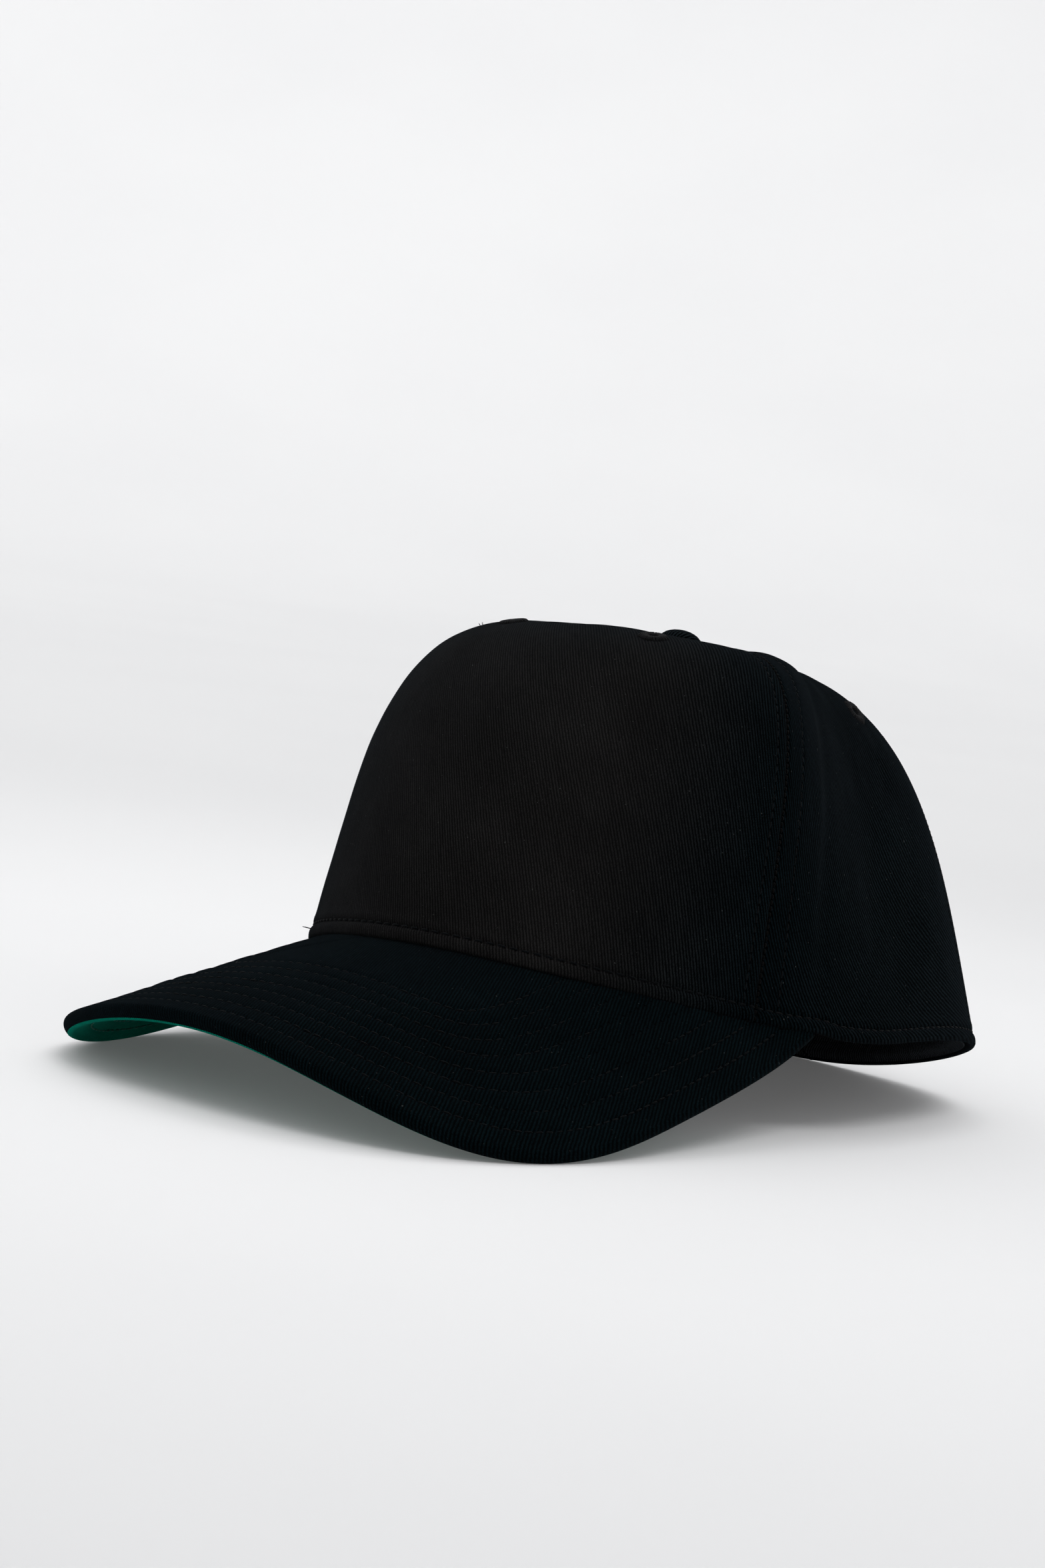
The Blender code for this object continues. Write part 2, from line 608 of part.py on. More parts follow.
def main():
    """Build every piece of the cap and stand it up."""
    for old in list(bpy.data.objects):
        bpy.data.objects.remove(old)
    frame = bpy.data.objects.new("cap_frame", None)
    bpy.context.collection.objects.link(frame)
    frame.rotation_euler = (START_TILT, 0, 0)

    twill = material("black_twill", (0.012, 0.013, 0.014), 0.9)
    green = material("green_cloth", (0.006, 0.110, 0.065), 0.85)
    board = material("visor_plastic", (0.60, 0.62, 0.60), 0.5)
    buckram = material("buckram", (0.05, 0.05, 0.05), 0.8)
    tape = material("seam_tape", (0.02, 0.02, 0.022), 0.85)
    band = material("sweatband_twill", (0.022, 0.023, 0.025), 0.85)
    lining = material("lining_felt", (0.30, 0.30, 0.29), 0.95)
    metal = material("button_metal", (0.55, 0.55, 0.55), 0.35, 1.0)
    thread = material("eyelet_thread", (0.020, 0.021, 0.022), 0.7)

    back = math.pi
    panels = {
        "front_panel": (-FRONT_SEAM, FRONT_SEAM),
        "side_panel_left": (FRONT_SEAM, REAR_SEAM),
        "side_panel_right": (-REAR_SEAM, -FRONT_SEAM),
        "back_panel_left": (REAR_SEAM, back),
        "back_panel_right": (-back, -REAR_SEAM),
    }
    made = {name: make_panel(name, *span, twill, frame) for name, span in panels.items()}
    wing = STIFFENER_WING / float(hem_radius(FRONT_SEAM))
    made["front_buckram"] = make_layer(
        "front_buckram", -FRONT_SEAM - wing, FRONT_SEAM + wing, STIFFENER_START, STIFFENER_STOP,
        STIFFENER_DEPTH, STIFFENER, buckram, frame)
    for side, sign in (("left", 1), ("right", -1)):
        make_tape(f"front_seam_tape_{side}", sign * FRONT_SEAM, FRONT_TAPE_DEPTH, tape, frame)
        make_tape(f"rear_seam_tape_{side}", sign * REAR_SEAM, REAR_TAPE_DEPTH, tape, frame)
    make_tape("centre_back_tape", back, REAR_TAPE_DEPTH, tape, frame)

    make_band("sweatband_lining", 0.004, SWEATBAND_HEIGHT - 0.004, LINING_DEPTH, LINING, lining, frame)
    make_band("sweatband", 0.0015, SWEATBAND_HEIGHT, SWEATBAND_DEPTH, SWEATBAND, band, frame)
    make_tab("sweatband_tab", SWEATBAND_DEPTH + SWEATBAND + GAP, tape, frame)

    make_visor_top(twill, frame)
    board_depth = VISOR_CLOTH + GAP
    make_visor_layer("visor_board", board_depth, VISOR_BOARD, board, frame)
    under_depth = board_depth + VISOR_BOARD + GAP
    make_visor_layer("visor_under_fabric", under_depth, VISOR_CLOTH, green, frame)

    make_button(twill, metal, frame)
    spots = {"front": (FRONT_EYELETS, STIFFENER_DEPTH + STIFFENER), "side": (SIDE_EYELETS, PANEL),
             "back": (BACK_EYELETS, PANEL)}
    for place, ((theta, share), through) in spots.items():
        for side, sign in (("left", 1), ("right", -1)):
            make_eyelet(f"eyelet_{place}_{side}", sign * theta, share, through, thread, frame)
            target = "front_panel" if place == "front" else f"{place}_panel_{side}"
            cut(made[target], [punch("punch", sign * theta, share, frame)])
            if place == "front":
                cut(made["front_buckram"], [punch("punch", sign * theta, share, frame)])

    parts = {item.name: item for item in bpy.data.objects if item.type == "MESH"}
    stand_up(frame, parts)


main()
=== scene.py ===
"""The looks of a closed-back five-panel baseball cap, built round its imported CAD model.

The cloth pieces are sewn-looking surfaces on the same curves as the CAD: the crown is drawn in its
own frame (hem plane z = 0, the wearer looks along -Y) and the visor is a flat pattern bent over a
cylinder.  CROWN_TO_ROW then stands every piece where the CAD has it.  Units are metres.
"""
import math

import bpy
import numpy as np
from mathutils import Euler, Matrix, Vector


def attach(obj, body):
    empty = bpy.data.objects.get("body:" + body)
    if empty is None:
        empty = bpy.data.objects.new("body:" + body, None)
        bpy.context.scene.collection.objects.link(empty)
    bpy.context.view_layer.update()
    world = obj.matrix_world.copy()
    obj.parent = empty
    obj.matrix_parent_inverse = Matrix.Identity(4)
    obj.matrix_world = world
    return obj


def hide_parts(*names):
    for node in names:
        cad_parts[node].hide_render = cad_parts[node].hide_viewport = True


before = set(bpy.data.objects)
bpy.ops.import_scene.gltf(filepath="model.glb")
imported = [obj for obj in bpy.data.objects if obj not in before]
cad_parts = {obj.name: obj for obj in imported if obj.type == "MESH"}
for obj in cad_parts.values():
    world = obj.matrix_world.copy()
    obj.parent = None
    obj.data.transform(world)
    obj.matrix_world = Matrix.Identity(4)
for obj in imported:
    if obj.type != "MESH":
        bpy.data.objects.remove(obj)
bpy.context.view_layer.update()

# ---------------------------------------------------------------- the CAD's own dimensions

HALF_WIDTH = 0.0853
FRONT_LENGTH = 0.1079
BACK_LENGTH = 0.0895
FRONT_FULLNESS = -0.04
BACK_FULLNESS = 0.11
LEAN_FRONT, LEAN_CORNER, LEAN_SIDE, LEAN_BACK = 0.0190, 0.0075, 0.0398, 0.0367
SHOULDER_FRONT, SHOULDER_CORNER, SHOULDER_SIDE, SHOULDER_BACK = 0.1020, 0.1004, 0.1030, 0.0981
SQUARE_FRONT, SQUARE_SIDE, SQUARE_BACK = 3.55, 5.07, 2.20
APEX = np.array([0.0, -0.0150, 0.0963])
SIDE_ARCH = 0.0089
FRONT_SEAM = math.radians(55.5)
REAR_SEAM = math.radians(127.0)
VISOR_END = math.radians(68.2)
BEND_RADIUS = 0.1181
VISOR_SLOPE = math.radians(23.4)
VISOR_LENGTH = 0.0756
VISOR_HALF_WIDTH = 0.0917
WIDEST_AT = -0.0105
OUTLINE_POWER = 2.8
OUTLINE_HANDLE = 0.64
TWIST = math.tan(math.radians(2.8)) / 0.0468
GAP = 0.00035
LAYER_GAP = 0.00055
PANEL = 0.0010
STIFFENER = 0.0007
TAPE = 0.0005
LINING = 0.0005
SWEATBAND = 0.0008
VISOR_CLOTH = 0.0008
VISOR_BOARD = 0.0020
VISOR_TUCK = 0.0018
VISOR_WRAP = 0.0020
VISOR_ROUND = 0.0016
VISOR_FULL_REACH = 0.008
VISOR_TOTAL = 2 * VISOR_CLOTH + VISOR_BOARD + 2 * GAP
STIFFENER_DEPTH = PANEL + LAYER_GAP
REAR_TAPE_DEPTH = PANEL + LAYER_GAP
FRONT_TAPE_DEPTH = STIFFENER_DEPTH + STIFFENER + LAYER_GAP
LINING_DEPTH = FRONT_TAPE_DEPTH + TAPE + LAYER_GAP
SWEATBAND_DEPTH = LINING_DEPTH + LINING + GAP
SWEATBAND_HEIGHT = 0.031
STIFFENER_START, STIFFENER_STOP, STIFFENER_WING = 0.007, 0.016, 0.017
TAPE_START, TAPE_STOP, TAPE_WIDTH = 0.006, 0.0095, 0.012
APEX_HOLE = 0.0034
TAB_WIDTH, TAB_HEIGHT = 0.030, 0.016
BUTTON_RADIUS, BUTTON_TOP = 0.0064, 0.0052
EYELET_HOLE, EYELET_FLANGE, EYELET_BACK = 0.0016, 0.0042, 0.0034
FRONT_EYELETS = (math.radians(23.5), 0.68)
SIDE_EYELETS = (math.radians(105.0), 0.64)
BACK_EYELETS = (math.radians(153.0), 0.66)

# Where the CAD's crown frame stands as the cap rests on its visor and its rear hem: metres and degrees.
CROWN_PLACE = (0.000158, 0.045671, 0.017524)
CROWN_TURN = Euler([math.radians(angle) for angle in (-11.0648, -3.0144, -0.0156)])
CROWN_TO_ROW = Matrix.Translation(CROWN_PLACE) @ CROWN_TURN.to_matrix().to_4x4()

# ---------------------------------------------------------------- sewing and cloth dimensions

HEM_FOLD = 0.0007
HEM_TURN_UP = 0.0060
HEM_BULGE = 0.00045
HEM_LIFT = 0.0008
HEM_STITCH = 0.0038
HEM_PITCH = 0.0031
SEAM_VALLEY = 0.0009
SEAM_BULGE = 0.00012
FRONT_TOPSTITCH, SIDE_TOPSTITCH, REAR_TOPSTITCH = 0.0040, 0.0064, 0.0038
SEAM_PITCH = 0.0025
THREAD = 0.00016
STITCH_FILL = 0.80
VISOR_ROWS_AT = [0.0070 + 0.0060 * row for row in range(8)]
VISOR_PITCH = 0.0031
WALE = 0.00100
HEM_THREAD = 0.00024
VISOR_THREAD_RADIUS = 0.00019
# Stands for "no needle row near here" in the cloth's row_gap value.
FAR_FROM_ROWS = 0.01
SWEATBAND_START = 0.0015
SWEATBAND_END = 0.006
BAND_STITCH = 0.0058
# Where the visor's upper cloth ends and its under cloth begins, in from the outer edge.
VISOR_UNDER_EDGE = VISOR_WRAP + 0.0004

TABLE_ANGLES = 1081
TABLE_SHARES = 421
RANDOM = np.random.default_rng(14)


# ---------------------------------------------------------------- repeatable noise

def lattice(column, row, seed):
    """A repeatable value from -1 to 1 for each whole-number place."""
    mixed = np.sin(column * 127.1 + row * 311.7 + seed * 74.7) * 43758.5453
    return 2 * (mixed - np.floor(mixed)) - 1


def soft_noise(x, y, seed=0):
    """Smooth noise from -1 to 1 with features about one unit wide."""
    column, row = np.floor(x), np.floor(y)
    across, up = x - column, y - row
    across = across ** 3 * (across * (6 * across - 15) + 10)
    up = up ** 3 * (up * (6 * up - 15) + 10)
    low = lattice(column, row, seed) * (1 - across) + lattice(column + 1, row, seed) * across
    high = lattice(column, row + 1, seed) * (1 - across) + lattice(column + 1, row + 1, seed) * across
    return low * (1 - up) + high * up


def ramp(value, low, high):
    """0 below low, 1 above high and a smooth rise between them."""
    share = np.clip((value - low) / (high - low), 0, 1)
    return share * share * (3 - 2 * share)


def ridge(value, centre, width):
    """A soft ridge of height 1."""
    return np.exp(-((value - centre) / width) ** 2)


# ---------------------------------------------------------------- crown surface

def hem_radius(theta):
    """Distance of the hem's outline from the crown's axis."""
    ahead = np.cos(theta) > 0
    length = np.where(ahead, FRONT_LENGTH, BACK_LENGTH)
    fullness = np.where(ahead, FRONT_FULLNESS, BACK_FULLNESS)
    ellipse = ((np.sin(theta) / HALF_WIDTH) ** 2 + (np.cos(theta) / length) ** 2) ** -0.5
    return ellipse * (1 + fullness * np.sin(2 * theta) ** 2)


def around(theta, front, corner, side, back):
    """A value that runs smoothly round the crown through its four key angles."""
    ahead = np.cos(theta) > 0
    value = np.sin(theta) ** 2 * side + np.cos(theta) ** 2 * np.where(ahead, front, back)
    return value + np.where(ahead, np.sin(2 * theta) ** 2, 0) * (corner - (front + side) / 2)


def plan_to_flat(x, y):
    """Flat pattern coordinates of the visor point that lies over x, y."""
    drop = BEND_RADIUS - np.sqrt(BEND_RADIUS ** 2 - x ** 2)
    across = BEND_RADIUS * np.arcsin(x / BEND_RADIUS)
    ahead = (-FRONT_LENGTH - y + drop * math.sin(VISOR_SLOPE)) / math.cos(VISOR_SLOPE)
    return across, ahead


def bent(across, ahead):
    """The bent and sloping visor surface, before its height over the hem is set."""
    turn = across / BEND_RADIUS
    drop = BEND_RADIUS * (1 - np.cos(turn))
    x = BEND_RADIUS * np.sin(turn)
    y = -FRONT_LENGTH - ahead * math.cos(VISOR_SLOPE) + drop * math.sin(VISOR_SLOPE)
    z = -ahead * math.sin(VISOR_SLOPE) - drop * math.cos(VISOR_SLOPE)
    beyond = np.maximum(np.hypot(x, y) - hem_radius(np.arctan2(x, -y)), 0)
    return np.stack([x, y, z - TWIST * x * beyond], -1)


END_RADIUS = float(hem_radius(VISOR_END))
END_PLAN = (END_RADIUS * math.sin(VISOR_END), -END_RADIUS * math.cos(VISOR_END))
END_ACROSS, END_AHEAD = plan_to_flat(*END_PLAN)
VISOR_RISE = -bent(END_ACROSS, END_AHEAD)[2]


def visor_surface(across, ahead):
    """Points on the visor's upper surface, whose two ends meet the hem at z = 0."""
    return bent(across, ahead) + np.array([0.0, 0.0, VISOR_RISE])


def visor_height(x, y):
    """Height of the visor's upper surface over x, y."""
    inside = np.clip(x, -0.99 * BEND_RADIUS, 0.99 * BEND_RADIUS)
    return visor_surface(*plan_to_flat(inside, y))[..., 2]


def hem_height(theta):
    """Height of the hem: on the visor in front, and arched over each ear behind it."""
    radius = hem_radius(theta)
    on_visor = visor_height(radius * np.sin(theta), -radius * np.cos(theta))
    share = np.clip((np.abs(theta) - VISOR_END) / (math.pi - VISOR_END), 0, 1)
    return np.where(np.abs(theta) < VISOR_END, on_visor, SIDE_ARCH * np.sin(math.pi * share) ** 2)


def meridians(theta, steps=400):
    """Dense lines from the hem to the apex, one for each angle, with their arc lengths."""
    radius = hem_radius(theta)
    lean = around(theta, LEAN_FRONT, LEAN_CORNER, LEAN_SIDE, LEAN_BACK)
    shoulder = around(theta, SHOULDER_FRONT, SHOULDER_CORNER, SHOULDER_SIDE, SHOULDER_BACK)
    corner_square = (SQUARE_FRONT + SQUARE_SIDE) / 2
    square = around(theta, SQUARE_FRONT, corner_square, SQUARE_SIDE, SQUARE_BACK)[:, None]
    outward = np.stack([np.sin(theta), -np.cos(theta), 0 * theta], -1)
    corner = outward * (radius - lean)[:, None] + np.array([0.0, 0.0, 1.0]) * shoulder[:, None]
    hem = outward * radius[:, None]
    hem = hem + (corner - hem) * (hem_height(theta) / shoulder)[:, None]
    centre = hem + APEX - corner
    angle = np.linspace(0, math.pi / 2, steps)[None, :]
    reach = (np.cos(angle) ** square + np.sin(angle) ** square) ** (1 / square)
    along = (np.cos(angle) / reach)[..., None]
    rise = (np.sin(angle) / reach)[..., None]
    line = centre[:, None] + (hem - centre)[:, None] * along + (APEX - centre)[:, None] * rise
    length = np.cumsum(np.linalg.norm(np.diff(line, axis=1), axis=-1), axis=1)
    return line, np.concatenate([np.zeros((len(theta), 1)), length], axis=1)


def crown_tables():
    """The crown's points, normals and hem-to-apex lengths on an even grid of angle and share."""
    theta = np.linspace(-math.pi, math.pi, TABLE_ANGLES)
    line, length = meridians(theta)
    share = np.linspace(0, 1, TABLE_SHARES)
    points = np.empty((TABLE_ANGLES, TABLE_SHARES, 3))
    for column in range(TABLE_ANGLES):
        wanted = share * length[column, -1]
        for axis in range(3):
            points[column, :, axis] = np.interp(wanted, length[column], line[column, :, axis])
    wrapped = np.concatenate([points[-2:-1], points, points[1:2]])
    normals = np.cross(wrapped[2:] - wrapped[:-2], np.gradient(points, axis=1))
    normals[:, -1] = normals[:, -2]
    normals /= np.linalg.norm(normals, axis=-1, keepdims=True)
    return points, normals, length[:, -1]


POINTS, NORMALS, LENGTHS = crown_tables()


def looked_up(table, theta, share):
    """A crown table's values between its grid points."""
    column = (theta + math.pi) / (2 * math.pi) * (TABLE_ANGLES - 1)
    row = np.clip(share, 0, 1) * (TABLE_SHARES - 1)
    left = np.clip(np.floor(column).astype(int), 0, TABLE_ANGLES - 2)
    below = np.clip(np.floor(row).astype(int), 0, TABLE_SHARES - 2)
    across, up = (column - left)[..., None], (row - below)[..., None]
    low = table[left, below] * (1 - across) + table[left + 1, below] * across
    high = table[left, below + 1] * (1 - across) + table[left + 1, below + 1] * across
    return low * (1 - up) + high * up


def crown_length(theta):
    """Arc length from the hem to the apex."""
    return np.interp(theta, np.linspace(-math.pi, math.pi, TABLE_ANGLES), LENGTHS)


def crown_at(theta, height, depth):
    """Points at an arc height above the hem and a depth under the crown's outer surface."""
    theta, height, depth = np.broadcast_arrays(theta, height, depth)
    length = crown_length(theta)
    share = height / length
    point = looked_up(POINTS, theta, share)
    normal = looked_up(NORMALS, theta, share)
    normal = normal / np.linalg.norm(normal, axis=-1, keepdims=True)
    near_hem = looked_up(POINTS, theta, 0 * share + 0.01) - looked_up(POINTS, theta, 0 * share)
    below = np.minimum(share, 0)[..., None] / 0.01
    return point + near_hem * below - depth[..., None] * normal


def crown_normal_at(theta, height):
    """Outward unit normal of the crown at an arc height."""
    theta, height = np.asarray(theta, float), np.asarray(height, float)
    normal = looked_up(NORMALS, theta, height / crown_length(theta))
    return normal / np.linalg.norm(normal, axis=-1, keepdims=True)


def seat(theta, depth):
    """Arc height at which a layer clears the visor, or 0 behind the visor's ends."""
    lift = GAP / math.cos(VISOR_SLOPE)
    height = np.full(theta.shape, 0.0017)
    for _ in range(6):
        point = crown_at(theta, height, depth)
        above = point[..., 2] - visor_height(point[..., 0], point[..., 1]) - lift
        height = np.clip(height - above, 0, 0.017)
    fade = np.clip((np.abs(theta) - VISOR_END) / math.radians(5), 0, 1)
    return height * (1 - fade)


# ---------------------------------------------------------------- mesh helpers

def to_row(points):
    """Points of the crown frame where the CAD stands."""
    matrix = np.array(CROWN_TO_ROW)
    return np.asarray(points, float) @ matrix[:3, :3].T + matrix[:3, 3]


def mesh_piece(name, points, faces, material, uv=None, values=None):
    """A smooth mesh object with optional UVs in metres and named values on its points."""
    mesh = bpy.data.meshes.new(name)
    mesh.from_pydata(to_row(points).tolist(), [], [list(face) for face in faces])
    mesh.shade_smooth()
    if uv is not None:
        corners = np.empty(len(mesh.loops), dtype=np.int32)
        mesh.loops.foreach_get("vertex_index", corners)
        layer = mesh.uv_layers.new(name="cloth")
        layer.data.foreach_set("uv", np.asarray(uv, float)[corners].ravel())
    for key, data in (values or {}).items():
        mesh.attributes.new(key, "FLOAT", "POINT").data.foreach_set("value", np.ravel(data))
    mesh.materials.append(material)
    piece = bpy.data.objects.new(name, mesh)
    bpy.context.collection.objects.link(piece)
    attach(piece, "root")
    return piece


def grid_faces(rows, columns, closed=False, first=0):
    """Quads over a grid of points numbered row by row, wound so that rows go up the cloth."""
    row, column = np.meshgrid(np.arange(rows - 1), np.arange(columns if closed else columns - 1),
                              indexing="ij")
    after = (column + 1) % columns
    corners = [row * columns + column, row * columns + after,
               (row + 1) * columns + after, (row + 1) * columns + column]
    return first + np.stack(corners, -1).reshape(-1, 4)


def slab_piece(name, outer, inner, material, uv):
    """A closed thin sheet between two grids of points."""
    rows, columns = outer.shape[:2]
    half = rows * columns
    faces = [grid_faces(rows, columns), grid_faces(rows, columns, first=half)[:, ::-1]]
    border = [column for column in range(columns)]
    border += [row * columns + columns - 1 for row in range(1, rows)]
    border += [(rows - 1) * columns + column for column in range(columns - 2, -1, -1)]
    border += [row * columns for row in range(rows - 2, 0, -1)]
    border = np.array(border)
    after = np.roll(border, -1)
    faces.append(np.stack([after, border, border + half, after + half], -1))
    points = np.concatenate([outer.reshape(-1, 3), inner.reshape(-1, 3)])
    flat = np.concatenate([uv.reshape(-1, 2)] * 2)
    piece = mesh_piece(name, points, np.concatenate(faces), material, flat)
    piece.data.set_sharp_from_angle(angle=math.radians(50))
    return piece


def run_lengths(points, axis=0):
    """Distance run along one axis of a grid of points, from its first point."""
    steps = np.linalg.norm(np.diff(points, axis=axis), axis=-1)
    start = np.zeros_like(np.take(steps, [0], axis=axis))
    return np.concatenate([start, np.cumsum(steps, axis=axis)], axis=axis)


def turned_uv(u, v, degrees):
    """Cloth coordinates turned in the plane of the cloth, so that the wales lean."""
    angle = math.radians(degrees)
    return np.stack([u * math.cos(angle) + v * math.sin(angle),
                     -u * math.sin(angle) + v * math.cos(angle)], -1)


# How each piece is cut from its cloth: the pitch of the wales in millimetres, their lean in degrees,
# and how the count of wales drifts with u * v, u ** 2 and v ** 2 where the cloth is stretched to shape.
WEAVES = {
    "front": (0.7613, 20.55, -0.00041, -0.00055, 0.00201),
    "side": (1.1679, 49.60, 0.00479, -0.00379, -0.00310),
    "back": (0.9481, 31.43, 0.0, 0.0, 0.0),
    "visor": (0.7623, -21.56, -0.00086, -0.00188, 0.00056),
}


def woven_uv(u, v, weave):
    """Cloth coordinates that count one wale for each WALE of U and run along the wales with V."""
    pitch, lean, twist, spread, stretch = WEAVES[weave]
    across, up = math.cos(math.radians(lean)), math.sin(math.radians(lean))
    u, v = u * 1000, v * 1000
    wales = (across * u + up * v) / pitch + twist * u * v + spread * u ** 2 + stretch * v ** 2
    along = across * v - up * u
    return np.stack([WALE * wales, along / 1000], -1)


# ---------------------------------------------------------------- materials

class Shader:
    """A Principled material and short ways to add nodes to it."""

    def __init__(self, name, roughness, specular=0.5, metallic=0.0, sheen=0.0, sheen_tint=(1, 1, 1)):
        self.material = bpy.data.materials.new(name)
        self.material.use_nodes = True
        self.tree = self.material.node_tree
        self.shader = self.tree.nodes["Principled BSDF"]
        self.shader.inputs["Roughness"].default_value = roughness
        self.shader.inputs["Specular IOR Level"].default_value = specular
        self.shader.inputs["Metallic"].default_value = metallic
        self.shader.inputs["Sheen Weight"].default_value = sheen
        self.shader.inputs["Sheen Roughness"].default_value = 0.45
        self.shader.inputs["Sheen Tint"].default_value = (*sheen_tint, 1)

    def node(self, kind, inputs=None, **settings):
        """One node, its settings and its inputs, which are values or other nodes' sockets."""
        made = self.tree.nodes.new(kind)
        for key, value in settings.items():
            setattr(made, key, value)
        for key, value in (inputs or {}).items():
            if isinstance(value, bpy.types.NodeSocket):
                self.tree.links.new(value, made.inputs[key])
            else:
                made.inputs[key].default_value = value
        return made

    def math(self, operation, first, second=0.0, third=0.0, clamp=False):
        """The result of one Math node."""
        made = self.node("ShaderNodeMath", {0: first, 1: second, 2: third}, operation=operation)
        made.use_clamp = clamp
        return made.outputs[0]

    def mapped(self, value, low, high, to_low=0.0, to_high=1.0):
        """A value taken smoothly from one range to another."""
        made = self.node("ShaderNodeMapRange", {0: value, 1: low, 2: high, 3: to_low, 4: to_high},
                         interpolation_type="SMOOTHSTEP")
        return made.outputs[0]

    def noise(self, vector, scale, detail=2.0, roughness=0.55):
        """Noise with features about 1 / scale metres wide."""
        made = self.node("ShaderNodeTexNoise", {"Vector": vector, "Scale": scale, "Detail": detail,
                                                "Roughness": roughness})
        return made.outputs["Fac"]

    def wave(self, vector, pitch, distortion=0.0, detail_scale=1.0, direction="X"):
        """Soft ribs of one pitch across a direction."""
        made = self.node("ShaderNodeTexWave", {
            "Vector": vector, "Scale": 2 * math.pi / (20 * pitch), "Distortion": distortion,
            "Detail": 2.0, "Detail Scale": detail_scale, "Detail Roughness": 0.6},
            wave_type="BANDS", bands_direction=direction, wave_profile="SIN")
        return made.outputs["Fac"]

    def mix(self, factor, first, second, blend="MIX"):
        """A colour mix."""
        made = self.node("ShaderNodeMix", {0: factor}, data_type="RGBA", blend_type=blend)
        for place_in, value in ((6, first), (7, second)):
            if isinstance(value, bpy.types.NodeSocket):
                self.tree.links.new(value, made.inputs[place_in])
            else:
                made.inputs[place_in].default_value = (*value, 1)
        return made.outputs[2]

    def value(self, name):
        """A named value on the mesh."""
        return self.node("ShaderNodeAttribute", attribute_name=name).outputs["Fac"]

    def cloth(self):
        """The cloth's own coordinates in metres."""
        return self.node("ShaderNodeUVMap", uv_map="cloth").outputs["UV"]

    def rotated(self, vector, degrees):
        """The same coordinates turned in their plane."""
        turn = (0, 0, math.radians(degrees))
        return self.node("ShaderNodeMapping", {"Vector": vector, "Rotation": turn}).outputs[0]

    def scaled(self, vector, scale):
        """The same coordinates stretched along their axes."""
        return self.node("ShaderNodeMapping", {"Vector": vector, "Scale": scale}).outputs[0]

    def grey(self, value):
        """A value as a grey colour."""
        return self.node("ShaderNodeCombineColor", {0: value, 1: value, 2: value}).outputs[0]

    def finish(self, colour, height=None, distance=0.0001, strength=1.0, roughness=None):
        """Connect the colour, the relief and the roughness."""
        self.tree.links.new(colour, self.shader.inputs["Base Color"])
        if height is not None:
            bump = self.node("ShaderNodeBump", {"Height": height, "Distance": distance,
                                                "Strength": strength})
            self.tree.links.new(bump.outputs[0], self.shader.inputs["Normal"])
        if roughness is not None:
            self.tree.links.new(roughness, self.shader.inputs["Roughness"])
        return self.material


# How far up from the deep colour to the face colour the twill is on average.
MEAN_LIGHT = 0.46
# NEEDLE_HOLE_SHADE is the near-black painted shade inside the needle holes.
LINT_COLOUR, NEEDLE_HOLE_SHADE = (0.50, 0.52, 0.50), (0.0003, 0.0003, 0.0004)


def twill_material(name, deep, shaded_face, lit_face, pitch=WALE, sheen=0.016, stitched=True, lint=0.05,
                   contrast=1.0):
    """Twill: wales along V, broken up by its yarns, with lint, slubs and needle holes.

    Painted light: lit, warm and flatter where painted_light is 1, shaded and cool where it is 0.
    """
    made = Shader(name, 0.95, specular=0.0, sheen=sheen, sheen_tint=(0.72, 0.88, 1.0))
    cloth = made.cloth()
    wale = made.wave(cloth, pitch, distortion=1.6, detail_scale=2.2)
    yarn = made.wave(made.rotated(cloth, 58), pitch * 0.55, distortion=3.0, detail_scale=2.0)
    fuzz = made.noise(cloth, 5600, detail=2.0, roughness=0.6)
    grain = made.noise(cloth, 1900, detail=2.0)
    slub = made.noise(made.scaled(cloth, (950, 130, 1)), 1.0, detail=2.0)
    patch = made.noise(cloth, 30, detail=4.0)
    broken = made.math("MULTIPLY_ADD", yarn, 0.55, made.math("MULTIPLY", fuzz, 0.95))
    crest = made.math("MULTIPLY", made.mapped(wale, 0.12, 0.95), broken)
    height = made.math("MULTIPLY_ADD", fuzz, 0.25, crest)
    light = made.math("MULTIPLY", crest, made.mapped(slub, 0.22, 0.80, 0.70, 1.75))
    light = made.math("MULTIPLY", light, made.mapped(grain, 0.30, 0.70, 0.45, 1.70), clamp=True)
    bold = made.mapped(made.value("painted_light"), 0.0, 1.0, contrast, 0.52 * contrast)
    light = made.math("MULTIPLY_ADD", made.math("SUBTRACT", light, MEAN_LIGHT), bold, MEAN_LIGHT)
    face = made.mix(made.value("painted_light"), shaded_face, lit_face)
    worn = made.grey(made.mapped(patch, 0.30, 0.72, 0.84, 1.16))
    colour = made.mix(1.0, made.mix(light, deep, face), worn, "MULTIPLY")
    speck = made.mapped(made.noise(cloth, 1250, detail=1.0, roughness=0.4), 0.755, 0.80)
    colour = made.mix(made.math("MULTIPLY", speck, lint), colour, LINT_COLOUR)
    if stitched:
        beside = made.mapped(made.math("ABSOLUTE", made.value("row_gap")), 0.00015, 0.00050, 1.0, 0.0)
        beat = made.math("SUBTRACT", made.math("FRACT", made.value("row_run")), 0.5)
        # Painted shade: the needle holes are dented and also painted near-black.
        hole_dent_and_shade = made.math("MULTIPLY", beside, made.mapped(made.math("ABSOLUTE", beat), 0.33, 0.46))
        colour = made.mix(made.math("MULTIPLY", hole_dent_and_shade, 0.9), colour, NEEDLE_HOLE_SHADE)
        height = made.math("SUBTRACT", height, made.math("MULTIPLY", hole_dent_and_shade, 2.0))
    return made.finish(colour, height, distance=0.00014, strength=0.35)


